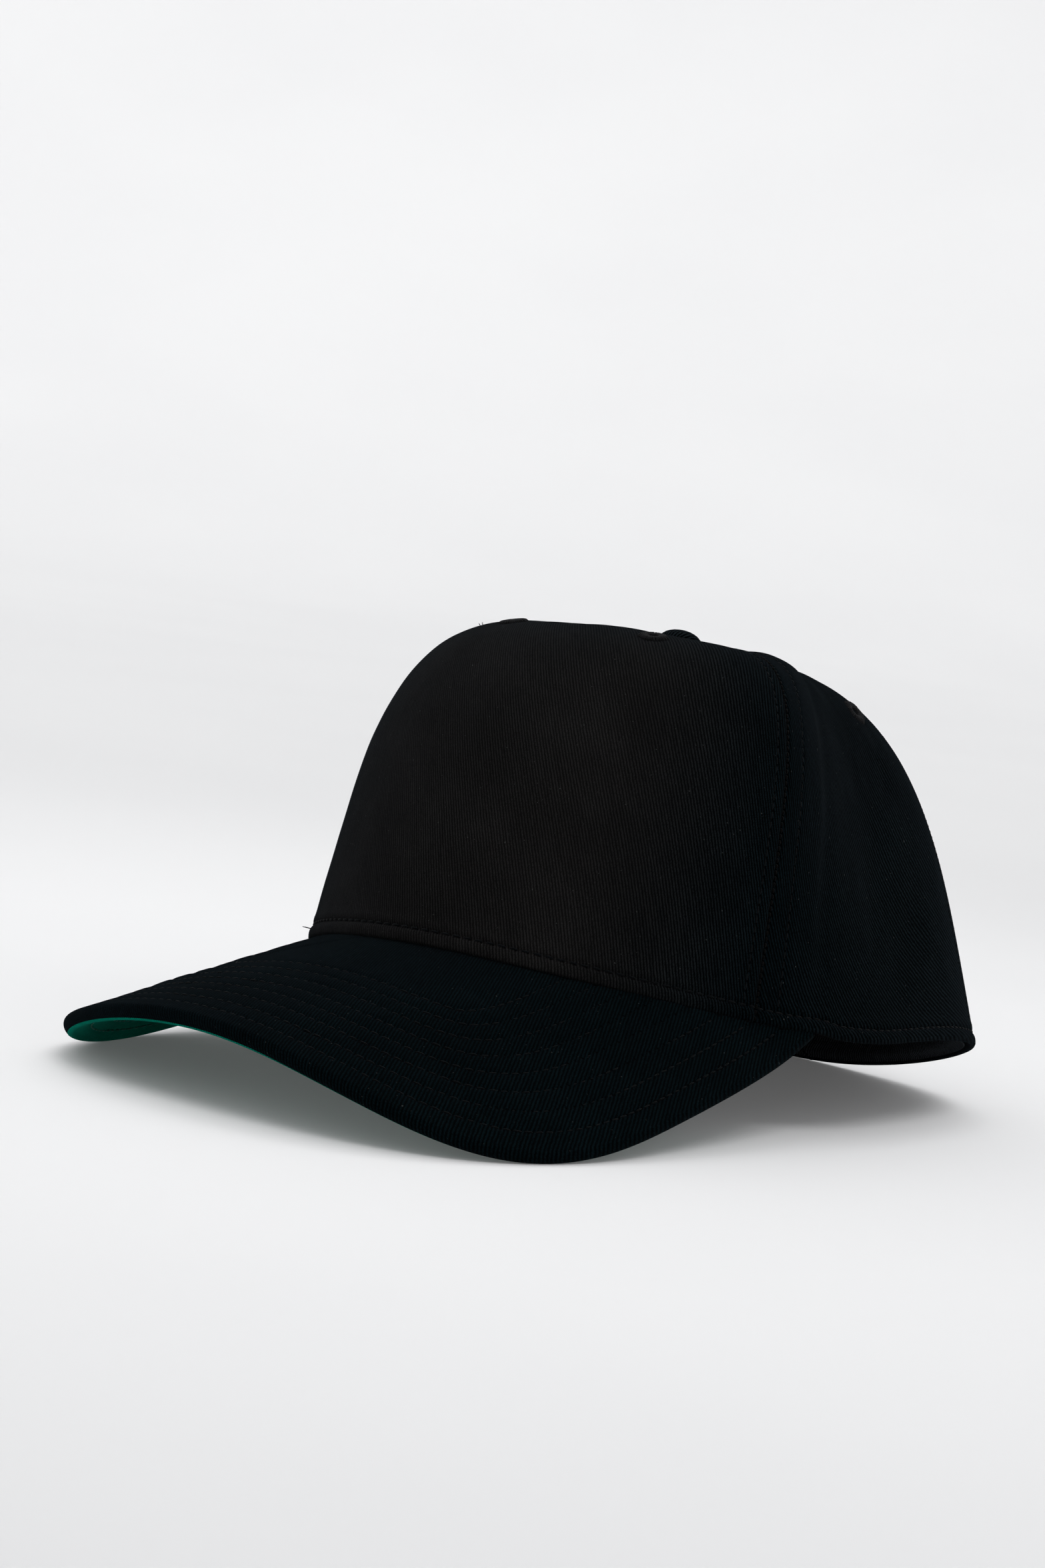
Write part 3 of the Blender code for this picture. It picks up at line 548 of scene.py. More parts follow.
def plain_weave_material(name, dark, light, pitch, sheen=0.05, distance=0.00008, specular=0.15):
    """Plain weave: two sets of yarns at right angles."""
    made = Shader(name, 0.88, specular=specular, sheen=sheen)
    cloth = made.cloth()
    warp = made.wave(cloth, pitch, distortion=1.5, detail_scale=2.0)
    weft = made.wave(cloth, pitch, distortion=1.5, detail_scale=2.0, direction="Y")
    weave = made.math("MULTIPLY", warp, weft)
    fuzz = made.noise(cloth, 4200, detail=3.0)
    height = made.math("MULTIPLY_ADD", fuzz, 0.5, weave)
    patch = made.noise(cloth, 160, detail=3.0)
    tone = made.mapped(made.math("MULTIPLY_ADD", patch, 0.6, height), 0.3, 1.5)
    return made.finish(made.mix(tone, dark, light), height, distance=distance, strength=0.8)


def thread_material(name, dark, light, sheen=0.1):
    """Twisted sewing thread; V runs along it and U round it."""
    made = Shader(name, 0.75, specular=0.06, sheen=sheen)
    cloth = made.cloth()
    twist = made.wave(made.rotated(cloth, 35), 0.00030, distortion=1.0)
    fuzz = made.noise(cloth, 6000, detail=2.0)
    height = made.math("MULTIPLY_ADD", fuzz, 0.4, twist)
    tone = made.mapped(height, 0.1, 1.3)
    return made.finish(made.mix(tone, dark, light), height, distance=0.00006, strength=0.7)


def felt_material(name):
    """Pale needled felt between the sweatband and the crown."""
    made = Shader(name, 0.95, specular=0.15, sheen=0.2)
    cloth = made.cloth()
    fibres = made.noise(made.scaled(cloth, (500, 2600, 1)), 1.0, detail=4.0, roughness=0.7)
    clumps = made.noise(cloth, 260, detail=3.0)
    height = made.math("MULTIPLY_ADD", clumps, 0.6, fibres)
    return made.finish(made.mix(made.mapped(height, 0.4, 1.2), (0.20, 0.20, 0.19), (0.40, 0.40, 0.38)),
                       height, distance=0.00015)


def board_material():
    """Moulded visor board: pale plastic with a fine eggshell grain and scuffs."""
    made = Shader("visor_plastic_grain", 0.5, specular=0.4)
    where = made.node("ShaderNodeTexCoord").outputs["Object"]
    grain = made.noise(where, 1600, detail=2.0)
    scuff = made.noise(where, 90, detail=5.0, roughness=0.7)
    colour = made.mix(made.mapped(scuff, 0.35, 0.7), (0.44, 0.46, 0.44), (0.60, 0.62, 0.60))
    return made.finish(colour, grain, distance=0.00005, strength=0.5,
                       roughness=made.mapped(scuff, 0.3, 0.7, 0.42, 0.62))


def metal_material():
    """Pressed steel of the button's shell and washer, a little dulled."""
    made = Shader("button_metal_dull", 0.35, metallic=1.0)
    where = made.node("ShaderNodeTexCoord").outputs["Object"]
    stain = made.noise(where, 420, detail=4.0, roughness=0.7)
    brushed = made.noise(made.scaled(where, (300, 300, 5200)), 1.0, detail=2.0)
    colour = made.mix(made.mapped(stain, 0.4, 0.7), (0.52, 0.52, 0.53), (0.34, 0.32, 0.30))
    return made.finish(colour, brushed, distance=0.00002, strength=0.5,
                       roughness=made.mapped(stain, 0.3, 0.7, 0.28, 0.5))


DEEP_BLACK = (0.0003, 0.0004, 0.0005)
# Painted light: each twill is painted between its shaded and its lit face colour by the mesh's
# painted_light value.
BLACK_TWILL = twill_material("black_twill", DEEP_BLACK, (0.0030, 0.0056, 0.0070),
                             (0.0150, 0.0145, 0.0142))
# Painted shade: a darker copy of the black twill for the visor, standing in for the shade on it.
SHADED_VISOR_TWILL = twill_material("black_twill_visor_painted_shade", DEEP_BLACK, (0.0022, 0.0052, 0.0064),
                             (0.0090, 0.0090, 0.0090), sheen=0.014, contrast=0.8)
# Painted light: a lighter, bluer copy of the black twill for the button, standing in for the light
# caught on top of the crown.
LIT_BUTTON_TWILL = twill_material("button_twill_painted_light", DEEP_BLACK, (0.0070, 0.0115, 0.0140),
                              (0.0140, 0.0140, 0.0140), stitched=False)
GREEN_TWILL = twill_material("green_twill", (0.0003, 0.065, 0.045), (0.0007, 0.186, 0.124),
                             (0.0008, 0.192, 0.127), pitch=0.0008, sheen=0.01, lint=0.02)
BAND_TWILL = twill_material("sweatband_twill", (0.0022, 0.0024, 0.0027), (0.021, 0.023, 0.026),
                            (0.022, 0.024, 0.027), pitch=0.0007, sheen=0.02, stitched=False, lint=0.03)
TAPE_TWILL = twill_material("seam_tape_twill", (0.0022, 0.0022, 0.0025), (0.021, 0.021, 0.023),
                            (0.022, 0.022, 0.024), pitch=0.0007, sheen=0.02, stitched=False, lint=0.02)
BUCKRAM = plain_weave_material("buckram_mesh", (0.006, 0.006, 0.006), (0.055, 0.055, 0.053), 0.0011,
                               distance=0.0002)
BLACK_THREAD = thread_material("black_thread", (0.0005, 0.0008, 0.0010), (0.0021, 0.0033, 0.0041),
                               sheen=0.01)
# Partly painted shade: near-black seam thread, darker than the black thread, standing in for the shade
# at the bottom of each seam.
SEAM_SHADE_THREAD = thread_material("seam_thread_painted_shade", (0.0001, 0.0001, 0.0001), (0.0007, 0.0008, 0.0009),
                              sheen=0.0)
# Painted shade: a darker copy of the black thread for the visor's top stitching, matching the visor's
# painted shade.
SHADED_VISOR_THREAD = thread_material("visor_thread_painted_shade", (0.0003, 0.0006, 0.0008), (0.0012, 0.0026, 0.0033),
                               sheen=0.01)
GREEN_THREAD = thread_material("green_thread", (0.001, 0.05, 0.034), (0.003, 0.14, 0.095))
EYELET_THREAD = thread_material("eyelet_thread_wound", (0.0020, 0.0022, 0.0025),
                                (0.0100, 0.0103, 0.0112), sheen=0.01)
FELT = felt_material("lining_felt_fibres")
BOARD = board_material()
METAL = metal_material()


# ---------------------------------------------------------------- stitches

def stitch_mesh(name, lines, pitch, material, radius=THREAD, sink=0.35):
    """One mesh of sewing stitches along several lines of (points, normals)."""
    rings, sides = 6, 6
    along = np.linspace(-1, 1, rings)
    swell = np.sqrt(np.clip(1 - np.abs(along) ** 3.2, 0.03, 1))
    turn = np.linspace(0, 2 * math.pi, sides, endpoint=False)
    points, faces, uv, first = [], [], [], 0
    for line, normals in lines:
        run = run_lengths(line)
        count = max(int(round(run[-1] / pitch)), 1)
        step = run[-1] / count
        centres = (np.arange(count) + 0.5) * step
        half = 0.5 * STITCH_FILL * step
        spots = centres[:, None] + half * along[None, :]
        middle = np.stack([np.interp(spots, run, line[:, axis]) for axis in range(3)], -1)
        up = np.stack([np.interp(spots, run, normals[:, axis]) for axis in range(3)], -1)
        forward = np.gradient(middle, axis=1)
        forward /= np.linalg.norm(forward, axis=-1, keepdims=True)
        side = np.cross(forward, up)
        side /= np.linalg.norm(side, axis=-1, keepdims=True)
        up = np.cross(side, forward)
        arch = (1 - along ** 2)[None, :, None] * radius * 0.8
        tilt = RANDOM.normal(0, 0.045, count)[:, None, None] * (along * half)[None, :, None]
        middle = middle + up * (arch - radius * sink) + side * tilt
        ring = (side[:, :, None] * np.cos(turn)[None, None, :, None] * 1.25
                + up[:, :, None] * np.sin(turn)[None, None, :, None])
        shell = middle[:, :, None] + ring * (radius * swell)[None, :, None, None]
        points.append(shell.reshape(-1, 3))
        around_it = np.broadcast_to(turn * radius, shell.shape[:3])
        spread = np.broadcast_to(spots[:, :, None], shell.shape[:3])
        uv.append(np.stack([around_it, spread], -1).reshape(-1, 2))
        one = grid_faces(rings, sides, closed=True).tolist()
        one += [list(range(sides))[::-1], [(rings - 1) * sides + k for k in range(sides)]]
        for stitch in range(count):
            start = first + stitch * rings * sides
            faces += [[start + corner for corner in face] for face in one]
        first += count * rings * sides
    return mesh_piece(name, np.concatenate(points), faces, material, np.concatenate(uv))


# ---------------------------------------------------------------- crown panels

def graded(length, steps):
    """Distances from 0 to length whose spacing follows (distance, spacing) pairs from each end."""
    found = [0.0]
    while found[-1] < length:
        near = min(found[-1], length - found[-1])
        found.append(found[-1] + float(np.interp(near, *zip(*steps))))
    found = np.array(found)
    return found * length / found[-1]


def seam_relief(distance, stitch_at):
    """Relief beside a seam: its valley, the seam allowance and the topstitching's furrow."""
    valley = -SEAM_VALLEY * np.exp(-(distance / 0.00034) ** 1.3)
    beyond = ramp(distance, stitch_at, stitch_at + 0.0016)
    allowance = SEAM_BULGE * ramp(distance, 0.0002, 0.0014) * (1 - beyond)
    furrow = -0.00026 * ridge(distance, stitch_at, 0.00045)
    return valley + allowance + furrow


def hem_relief(height, along):
    """Relief of the turned hem: its roll, the stitched furrow and slight puckers."""
    pucker = 1 + 0.30 * soft_noise(along / 0.0052, 0 * along, 5)
    pucker += 0.15 * soft_noise(along / 0.0023, 0 * along, 6)
    share = np.clip(height / (HEM_STITCH - 0.0003), 0, 1)
    roll = HEM_BULGE * pucker * np.sin(math.pi * share) ** 0.8
    furrow = -0.00038 * ridge(height, HEM_STITCH, 0.00050)
    beyond = 0.00016 * pucker * ridge(height, HEM_STITCH + 0.0018, 0.0011)
    return roll + furrow + beyond


PANELS = {
    # name: start, end, stitch row beside each side, weave, wave size, painted light (lit front, shaded
    # sides)
    "front_panel": (-FRONT_SEAM, FRONT_SEAM, FRONT_TOPSTITCH, FRONT_TOPSTITCH, "front", 0.00022, 1.0),
    "side_panel_left": (FRONT_SEAM, REAR_SEAM, SIDE_TOPSTITCH, REAR_TOPSTITCH, "side", 0.00060, 0.1),
    "side_panel_right": (-REAR_SEAM, -FRONT_SEAM, REAR_TOPSTITCH, SIDE_TOPSTITCH, "back", 0.00060, 0.1),
    "back_panel_left": (REAR_SEAM, math.pi, REAR_TOPSTITCH, REAR_TOPSTITCH, "back", 0.00060, 0.1),
    "back_panel_right": (-math.pi, -REAR_SEAM, REAR_TOPSTITCH, REAR_TOPSTITCH, "back", 0.00060, 0.1),
}
COLUMN_STEPS = ((0, 0.00028), (0.0018, 0.00040), (0.0030, 0.00065), (0.0075, 0.00065), (0.010, 0.0013))
ROW_STEPS = ((0, 0.0004), (0.0065, 0.0004), (0.009, 0.0012), (0.02, 0.0013))


def hem_run(theta):
    """Distance round the hem from the centre back."""
    angles = np.linspace(-math.pi, math.pi, TABLE_ANGLES)
    return np.interp(theta, angles, run_lengths(POINTS[:, 0]))


def panel_relief(name, theta, height, left, right):
    """Relief of one panel from its distances to the hem and to its two seams."""
    _, _, stitch_left, stitch_right, _, wave, _ = PANELS[name]
    width = left + right
    narrow = ramp(width, 0.004, 0.020)
    relief = narrow * (seam_relief(left, stitch_left) + seam_relief(right, stitch_right))
    along = hem_run(theta)
    relief += hem_relief(height, along)
    away = (1 - np.exp(-(np.minimum(left, right) / 0.010) ** 2)) * ramp(height, 0.004, 0.022)
    slow = soft_noise(along / 0.034, height / 0.030, 1)
    slow += 0.5 * soft_noise(along / 0.017, height / 0.015, 2)
    relief += wave * away * slow + 0.00006 * away * soft_noise(along / 0.006, height / 0.007, 3)
    if name.startswith("side"):
        front = left if name.endswith("left") else right
        strength = 0.00035 + 0.0011 * ramp(height, 0.075, 0.125) * (1 - ramp(height, 0.140, 0.160))
        step = (1 - ramp(front, 0.0155, 0.0190)) * ramp(front, 0.004, 0.009)
        crease = 0.8 * step - 0.9 * ridge(front, 0.0205, 0.0035)
        relief += strength * ramp(height, 0.006, 0.02) * crease * narrow
    return relief


def turned_hem(columns, low, relief):
    """The cloth inside the hem, from the turn-up's edge down and round the fold."""
    fold = np.linspace(0, math.pi, 9)[1:, None]
    fold_depth = -relief + (HEM_FOLD + relief / 2) * (1 - np.cos(fold))
    folded = crown_at(columns, low + HEM_FOLD * (1 - np.sin(fold)), fold_depth)
    turn_up = np.linspace(0.0016, HEM_TURN_UP, 5)[:, None]
    turned = crown_at(columns, low + turn_up, 2 * HEM_FOLD)
    return np.concatenate([folded, turned])[::-1]


def nearest_row(gaps, runs):
    """The signed distance to the nearest needle row, and the run along that row in stitches."""
    nearest = np.argmin(np.abs(gaps), axis=0)[None]
    return np.take_along_axis(gaps, nearest, 0)[0], np.take_along_axis(runs, nearest, 0)[0]


def topstitch_line(rows, places, across, outer, theta, height):
    """One row of topstitching beside a seam: its points on the cloth and the normals there."""
    spots = list(zip(rows, places))
    line = [[np.interp(place, across[row], outer[row, :, axis]) for axis in range(3)]
            for row, place in spots]
    angles = [np.interp(place, across[row], theta[row]) for row, place in spots]
    heights = [np.interp(place, across[row], height[row]) for row, place in spots]
    return np.array(line), crown_normal_at(angles, heights)


def make_panel(name):
    """One twill panel with its turned hem, and its lines of seam and hem stitching."""
    start, end, stitch_left, stitch_right, weave, _, painted_light = PANELS[name]
    hem_width = float(hem_run(end) - hem_run(start))
    columns = start + (end - start) * graded(hem_width, COLUMN_STEPS) / hem_width
    behind = np.clip((np.abs(columns) - VISOR_END) / (math.pi - VISOR_END), 0, 1)
    low = seat(columns, 0.0) + HEM_LIFT * np.sin(math.pi * behind) ** 2
    high = crown_length(columns) - APEX_HOLE
    steps = graded(float(np.mean(high - low)) * 2, ROW_STEPS)
    steps = steps[steps < steps[-1] / 2 + 0.0006]
    steps = steps / steps[-1]
    height = low + (high - low) * steps[:, None]
    theta = np.broadcast_to(columns, height.shape)
    plain = crown_at(theta, height, 0.0)
    across = run_lengths(plain, axis=1)
    width = across[:, -1:]
    left, right = across, width - across
    above = height - low
    relief = panel_relief(name, theta, above, left, right)
    raised = np.maximum(above, HEM_FOLD) + low
    outer = crown_at(theta, raised, -relief)
    keep = above[:, 0] >= HEM_FOLD * 0.98
    outer, height, across, width, above, theta, relief = (
        grid[keep] for grid in (outer, height, across, width, above, theta, relief))
    inside = turned_hem(columns, low, relief[:1])
    points = np.concatenate([inside, outer])
    extra = len(inside)
    u = np.concatenate([np.repeat(across[:1] - width[:1] / 2, extra, axis=0), across - width / 2])
    inside_run = run_lengths(inside)
    v = np.concatenate([above[0] - inside_run[-1] + inside_run, above])
    gaps = np.stack([above - HEM_STITCH, across - stitch_left, width - across - stitch_right])
    runs = np.stack([hem_run(theta) / HEM_PITCH, above / SEAM_PITCH, above / SEAM_PITCH])
    row_gap, row_run = nearest_row(gaps, runs)
    spare = np.full((extra, len(columns)), FAR_FROM_ROWS)
    # Painted light: the front panel's middle and lower part is painted lit and warm, its seams and top
    # cooler and shaded; the other panels get only a little.
    middle = 1 - ramp(np.abs(across / np.maximum(width, 1e-6) - 0.5), 0.18, 0.52)
    tone = painted_light * middle * (1 - 0.75 * ramp(above, 0.085, 0.130))
    values = {
        "row_gap": np.concatenate([spare, row_gap]),
        "row_run": np.concatenate([spare, row_run]),
        "painted_light": np.concatenate([np.repeat(tone[:1], extra, axis=0), tone]),
    }
    uv = woven_uv(u, v, weave)
    piece = mesh_piece(f"cloth_{name}", points.reshape(-1, 3), grid_faces(*points.shape[:2]),
                       BLACK_TWILL, uv.reshape(-1, 2), values)
    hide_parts(name)
    stitches = []
    for distance, side in ((stitch_left, "left"), (stitch_right, "right")):
        rows = np.flatnonzero((above[:, 0] > HEM_STITCH + 0.0008) & (width[:, 0] > 2.6 * distance))
        places = width[rows, 0] - distance if side == "right" else np.full(len(rows), distance)
        stitches.append(topstitch_line(rows, places, across, outer, theta, height))
    row = int(np.argmin(np.abs(above[:, 0] - HEM_STITCH)))
    return piece, stitches, (outer[row], crown_normal_at(theta[row], height[row]))


panel_pieces, seam_stitches, hem_stitches = {}, [], []
for panel_name in PANELS:
    panel_pieces[panel_name], rows, hem_row = make_panel(panel_name)
    seam_stitches += rows
    hem_stitches.append(hem_row)
stitch_mesh("stitches_crown_seams", seam_stitches, SEAM_PITCH, BLACK_THREAD)
stitch_mesh("stitches_hem", hem_stitches, HEM_PITCH, BLACK_THREAD, radius=HEM_THREAD)

# Cut thread ends left standing: angle round the crown, arc height, then reach outward and sideways.
LOOSE_ENDS = ((-0.86, 0.1010, 0.0034, 0.0012), (-0.84, 0.1008, 0.0022, -0.0024),
              (-0.70, HEM_STITCH, 0.0030, -0.0022), (-0.68, HEM_STITCH, 0.0024, 0.0016))
LOOSE_END_RADIUS = 0.00011
LONGER_THAN_ANY_END = 1.0
# The seam thread that shows between the stitches at the bottom of each seam, painted near-black as the
# shade in the seam valley.
SEAM_BEADS, SEAM_BEAD_RADIUS, SEAM_BEAD_DEPTH = 0.0016, 0.00028, 0.00028


def loose_end(theta, height, outward, sideways):
    """The curved line of one loose thread end, with the normals its mesh is built on."""
    root = crown_at(np.array(theta), np.array(height), np.array(0.0))
    normal = crown_normal_at(theta, height)
    across = np.cross(normal, (0.0, 0.0, 1.0))
    across = across / np.linalg.norm(across)
    sweep = np.linspace(0, 1, 12)[:, None]
    line = root + normal * outward * np.sin(sweep * 1.9) + across * sideways * sweep ** 2
    return line, np.broadcast_to(np.cross(normal, across), line.shape)


def seam_line(theta):
    """The line at the bottom of one seam, from the hem nearly to the button, with its normals."""
    heights = np.linspace(0.0005, 0.96 * float(crown_length(theta)), 240)
    return crown_at(theta, heights, SEAM_BEAD_DEPTH), crown_normal_at(np.full(240, theta), heights)


SEAMS = (FRONT_SEAM, REAR_SEAM, math.pi, -REAR_SEAM, -FRONT_SEAM)
stitch_mesh("threads_seam_lines_painted_shade", [seam_line(theta) for theta in SEAMS], SEAM_BEADS, SEAM_SHADE_THREAD,
            radius=SEAM_BEAD_RADIUS, sink=0.0)
stitch_mesh("threads_loose", [loose_end(*end) for end in LOOSE_ENDS], LONGER_THAN_ANY_END,
            BLACK_THREAD, radius=LOOSE_END_RADIUS)


# ---------------------------------------------------------------- layers inside the crown

def make_layer(name, node, columns, bottom, top, depth, thickness, material, spacing=0.003):
    """A thin layer inside the crown between two arc heights."""
    count = int(np.ceil(float(np.max(top - bottom)) / spacing)) + 1
    height = bottom + (top - bottom) * np.linspace(0, 1, count)[:, None]
    theta = np.broadcast_to(columns, height.shape)
    outer = crown_at(theta, height, depth)
    inner = crown_at(theta, height, depth + thickness)
    across = run_lengths(outer, axis=1)
    uv = np.stack([across - across[:, -1:] / 2, height], -1)
    piece = slab_piece(name, outer, inner, material, uv)
    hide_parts(node)
    return piece


def make_stiffener():
    """The buckram behind the front panel, reaching past the front seams."""
    wing = STIFFENER_WING / float(hem_radius(FRONT_SEAM))
    columns = np.linspace(-FRONT_SEAM - wing, FRONT_SEAM + wing, 130)
    bottom = np.full(columns.shape, STIFFENER_START)
    top = crown_length(columns) - STIFFENER_STOP
    return make_layer("stiffener_front", "front_buckram", columns, bottom, top, STIFFENER_DEPTH,
                      STIFFENER, BUCKRAM, 0.002)


def make_tape(name, seam, depth):
    """The tape over one seam: folded edges, and two rows of stitches."""
    length = float(crown_length(seam))
    height = np.linspace(TAPE_START, length - TAPE_STOP, 90)
    share = height / length
    step = 0.01
    inward = seam - step if seam > 3 else seam
    speed = np.linalg.norm(looked_up(POINTS, inward + step, share)
                           - looked_up(POINTS, inward - step, share), axis=-1)
    reach = np.minimum(TAPE_WIDTH / 2, 0.45 * speed / (2 * step)) * 2 * step / speed
    spread = np.array([-1, -0.9, -0.75, -0.5, -0.25, 0, 0.25, 0.5, 0.75, 0.9, 1])
    theta = seam + reach[:, None] * spread
    theta = np.where(theta > math.pi, theta - 2 * math.pi, theta)
    heights = share[:, None] * crown_length(theta)
    crowned = TAPE * (0.10 - 0.55 * np.abs(spread) ** 6) + 0 * theta
    outer = crown_at(theta, heights, depth)
    inner = crown_at(theta, heights, depth + TAPE + crowned)
    across = run_lengths(outer, axis=1)
    uv = np.stack([across - across[:, -1:] / 2, heights], -1)
    piece = slab_piece(f"tape_{name}", outer, inner, TAPE_TWILL, uv)
    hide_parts(name)
    lines = [(inner[2:-2, column], -crown_normal_at(theta[2:-2, column], heights[2:-2, column]))
             for column in (2, 8)]
    return piece, lines


def band_bottom(theta):
    """Lower edge of the sweatband: it hangs past the visor's root in front."""
    ahead = 1 - ramp(np.abs(theta), VISOR_END - 0.16, VISOR_END + 0.02)
    return 0.0016 - 0.0062 * ahead


def make_sweatband():
    """The sweatband: a soft band whose lower edge rolls out to the hem."""
    columns = np.linspace(-math.pi + SWEATBAND_END, math.pi - SWEATBAND_END, 420)
    bottom = band_bottom(columns)
    top = np.full(columns.shape, SWEATBAND_START + SWEATBAND_HEIGHT)
    shares = np.concatenate([np.linspace(0, 0.2, 9), np.linspace(0.22, 0.95, 22),
                             np.linspace(0.965, 1, 4)])
    height = bottom + (top - bottom) * shares[:, None]
    above = height - bottom
    tuck = 0.0024 * (1 - ramp(above, 0.0, 0.0042)) ** 1.5
    run = hem_run(columns)
    ripple = 0.000225 * soft_noise(run / 0.018, height / 0.02, 9) * ramp(above, 0.004, 0.012)
    depth = SWEATBAND_DEPTH - tuck + 0.0003 + ripple
    theta = np.broadcast_to(columns, height.shape)
    outer = crown_at(theta, height, depth)
    rounded = SWEATBAND * np.clip(np.sin(math.pi * np.clip(shares, 0.02, 0.98)) * 8, 0.25, 1)[:, None]
    furrow = 0.0003 * ridge(above, BAND_STITCH, 0.0006) + 0.0002 * ridge(top - height, 0.0022, 0.0006)
    inner = crown_at(theta, height, depth + rounded - furrow)
    uv = turned_uv(run + 0 * height, height, 35)
    piece = slab_piece("sweatband_cloth", outer, inner, BAND_TWILL, uv)
    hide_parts("sweatband")
    row = bottom + BAND_STITCH
    line = crown_at(columns, row, SWEATBAND_DEPTH + SWEATBAND + 0.0002)
    return piece, [(line[2:-2], -crown_normal_at(columns, np.maximum(row, 0))[2:-2])]


def make_lining():
    """The felt strip behind the sweatband."""
    columns = np.linspace(-math.pi + SWEATBAND_END, math.pi - SWEATBAND_END, 300)
    bottom = np.full(columns.shape, 0.0045)
    top = np.full(columns.shape, SWEATBAND_HEIGHT)
    return make_layer("sweatband_felt", "sweatband_lining", columns, bottom, top,
                      LINING_DEPTH - 0.0001, LINING, FELT, 0.003)


def make_tab():
    """The plain tab that covers the sweatband's join, with turned edges."""
    reach = TAB_WIDTH / 2 / BACK_LENGTH
    spread = np.concatenate([[-1, -0.985, -0.95], np.linspace(-0.9, 0.9, 25), [0.95, 0.985, 1]])
    theta = math.pi + reach * spread
    theta = np.where(theta > math.pi, theta - 2 * math.pi, theta)
    low = SWEATBAND_START + (SWEATBAND_HEIGHT - TAB_HEIGHT) / 2
    rise = np.concatenate([[0, 0.03, 0.08], np.linspace(0.14, 0.86, 12), [0.92, 0.97, 1]])[:, None]
    heights = low + TAB_HEIGHT * rise + 0 * theta
    depth = SWEATBAND_DEPTH + SWEATBAND + GAP
    edge = np.minimum(ramp(1 - np.abs(spread), -0.01, 0.06), ramp(0.5 - np.abs(rise - 0.5), -0.02, 0.06))
    angle = np.broadcast_to(theta, heights.shape)
    outer = crown_at(angle, heights, depth)
    inner = crown_at(angle, heights, depth + TAPE * (0.35 + 0.75 * edge))
    uv = np.stack([spread * TAB_WIDTH / 2 + 0 * heights, heights], -1)
    piece = slab_piece("sweatband_tab_cloth", outer, inner, TAPE_TWILL, uv)
    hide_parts("sweatband_tab")
    return piece


stiffener = make_stiffener()
tapes, tape_stitches = {}, []
for tape_name, tape_seam, tape_depth in (
        ("front_seam_tape_left", FRONT_SEAM, FRONT_TAPE_DEPTH),
        ("front_seam_tape_right", -FRONT_SEAM, FRONT_TAPE_DEPTH),
        ("rear_seam_tape_left", REAR_SEAM, REAR_TAPE_DEPTH),
        ("rear_seam_tape_right", -REAR_SEAM, REAR_TAPE_DEPTH),
        ("centre_back_tape", math.pi, REAR_TAPE_DEPTH)):
    tapes[tape_name], rows = make_tape(tape_name, tape_seam, tape_depth)
    tape_stitches += rows
stitch_mesh("stitches_tapes", tape_stitches, SEAM_PITCH, BLACK_THREAD)
sweatband, band_rows = make_sweatband()
stitch_mesh("stitches_sweatband", band_rows, HEM_PITCH, BLACK_THREAD)
lining = make_lining()
tab = make_tab()


# ---------------------------------------------------------------- visor

def resample(points, count):
    """The same line with evenly spaced points."""
    length = run_lengths(points)
    wanted = np.linspace(0, length[-1], count)
    return np.stack([np.interp(wanted, length, axis) for axis in points.T], -1)


def visor_outline(count):
    """Flat outer edge of the visor, from the wearer's right end to the left end."""
    t = np.linspace(0, 1, 60)[:, None]
    end = np.array([END_ACROSS, END_AHEAD])
    widest = np.array([VISOR_HALF_WIDTH, WIDEST_AT])
    handle = widest - np.array([0, OUTLINE_HANDLE * (WIDEST_AT - END_AHEAD)])
    first = end + (handle - end) * 0.45
    side = ((1 - t) ** 3 * end + 3 * (1 - t) ** 2 * t * first
            + 3 * (1 - t) * t ** 2 * handle + t ** 3 * widest)
    turn = np.linspace(0, math.pi / 2, 200)
    power = 2 / OUTLINE_POWER
    front = np.stack([VISOR_HALF_WIDTH * np.cos(turn) ** power,
                      WIDEST_AT + (VISOR_LENGTH - WIDEST_AT) * np.sin(turn) ** power], -1)
    half = np.concatenate([side[:-1], front])
    mirrored = half * np.array([-1, 1])
    return resample(np.concatenate([mirrored, half[::-1][1:]]), count)


def visor_root(count, tuck=VISOR_TUCK):
    """Flat inner edge of the visor, just inside the hem."""
    theta = np.linspace(-VISOR_END, VISOR_END, count)
    radius = hem_radius(theta) - tuck
    return np.stack(plan_to_flat(radius * np.sin(theta), -radius * np.cos(theta)), -1)


def visor_normal(flat):
    """Upward unit normal of the visor's upper surface at flat points."""
    step = 0.0005
    across, ahead = flat[..., 0], flat[..., 1]
    sideways = visor_surface(across + step, ahead) - visor_surface(across - step, ahead)
    forward = visor_surface(across, ahead + step) - visor_surface(across, ahead - step)
    normal = np.cross(forward, sideways)
    return normal / np.linalg.norm(normal, axis=-1, keepdims=True)


def visor_layer(flat, depth):
    """Points at a depth under the visor's upper surface."""
    return visor_surface(flat[..., 0], flat[..., 1]) - np.asarray(depth)[..., None] * visor_normal(flat)


VISOR_COUNT = 241
OUTLINE = visor_outline(VISOR_COUNT)
ROOT = visor_root(VISOR_COUNT)
FINE_OUTLINE = visor_outline(1200)
FINE_RUN = run_lengths(FINE_OUTLINE)


def outward_from(outline):
    """Outward unit normals of a flat outline."""
    along = np.gradient(outline, axis=0)
    outward = np.stack([-along[:, 1], along[:, 0]], -1)
    return outward / np.linalg.norm(outward, axis=1, keepdims=True)


def visor_flat(margin, shares):
    """Rows of flat points from the visor's root to a margin inside its outer edge."""
    reach = np.linalg.norm(OUTLINE - ROOT, axis=1, keepdims=True)
    tip = OUTLINE - outward_from(OUTLINE) * margin * np.minimum(1, reach / VISOR_FULL_REACH)
    return ROOT + (tip - ROOT) * np.asarray(shares)[:, None, None]


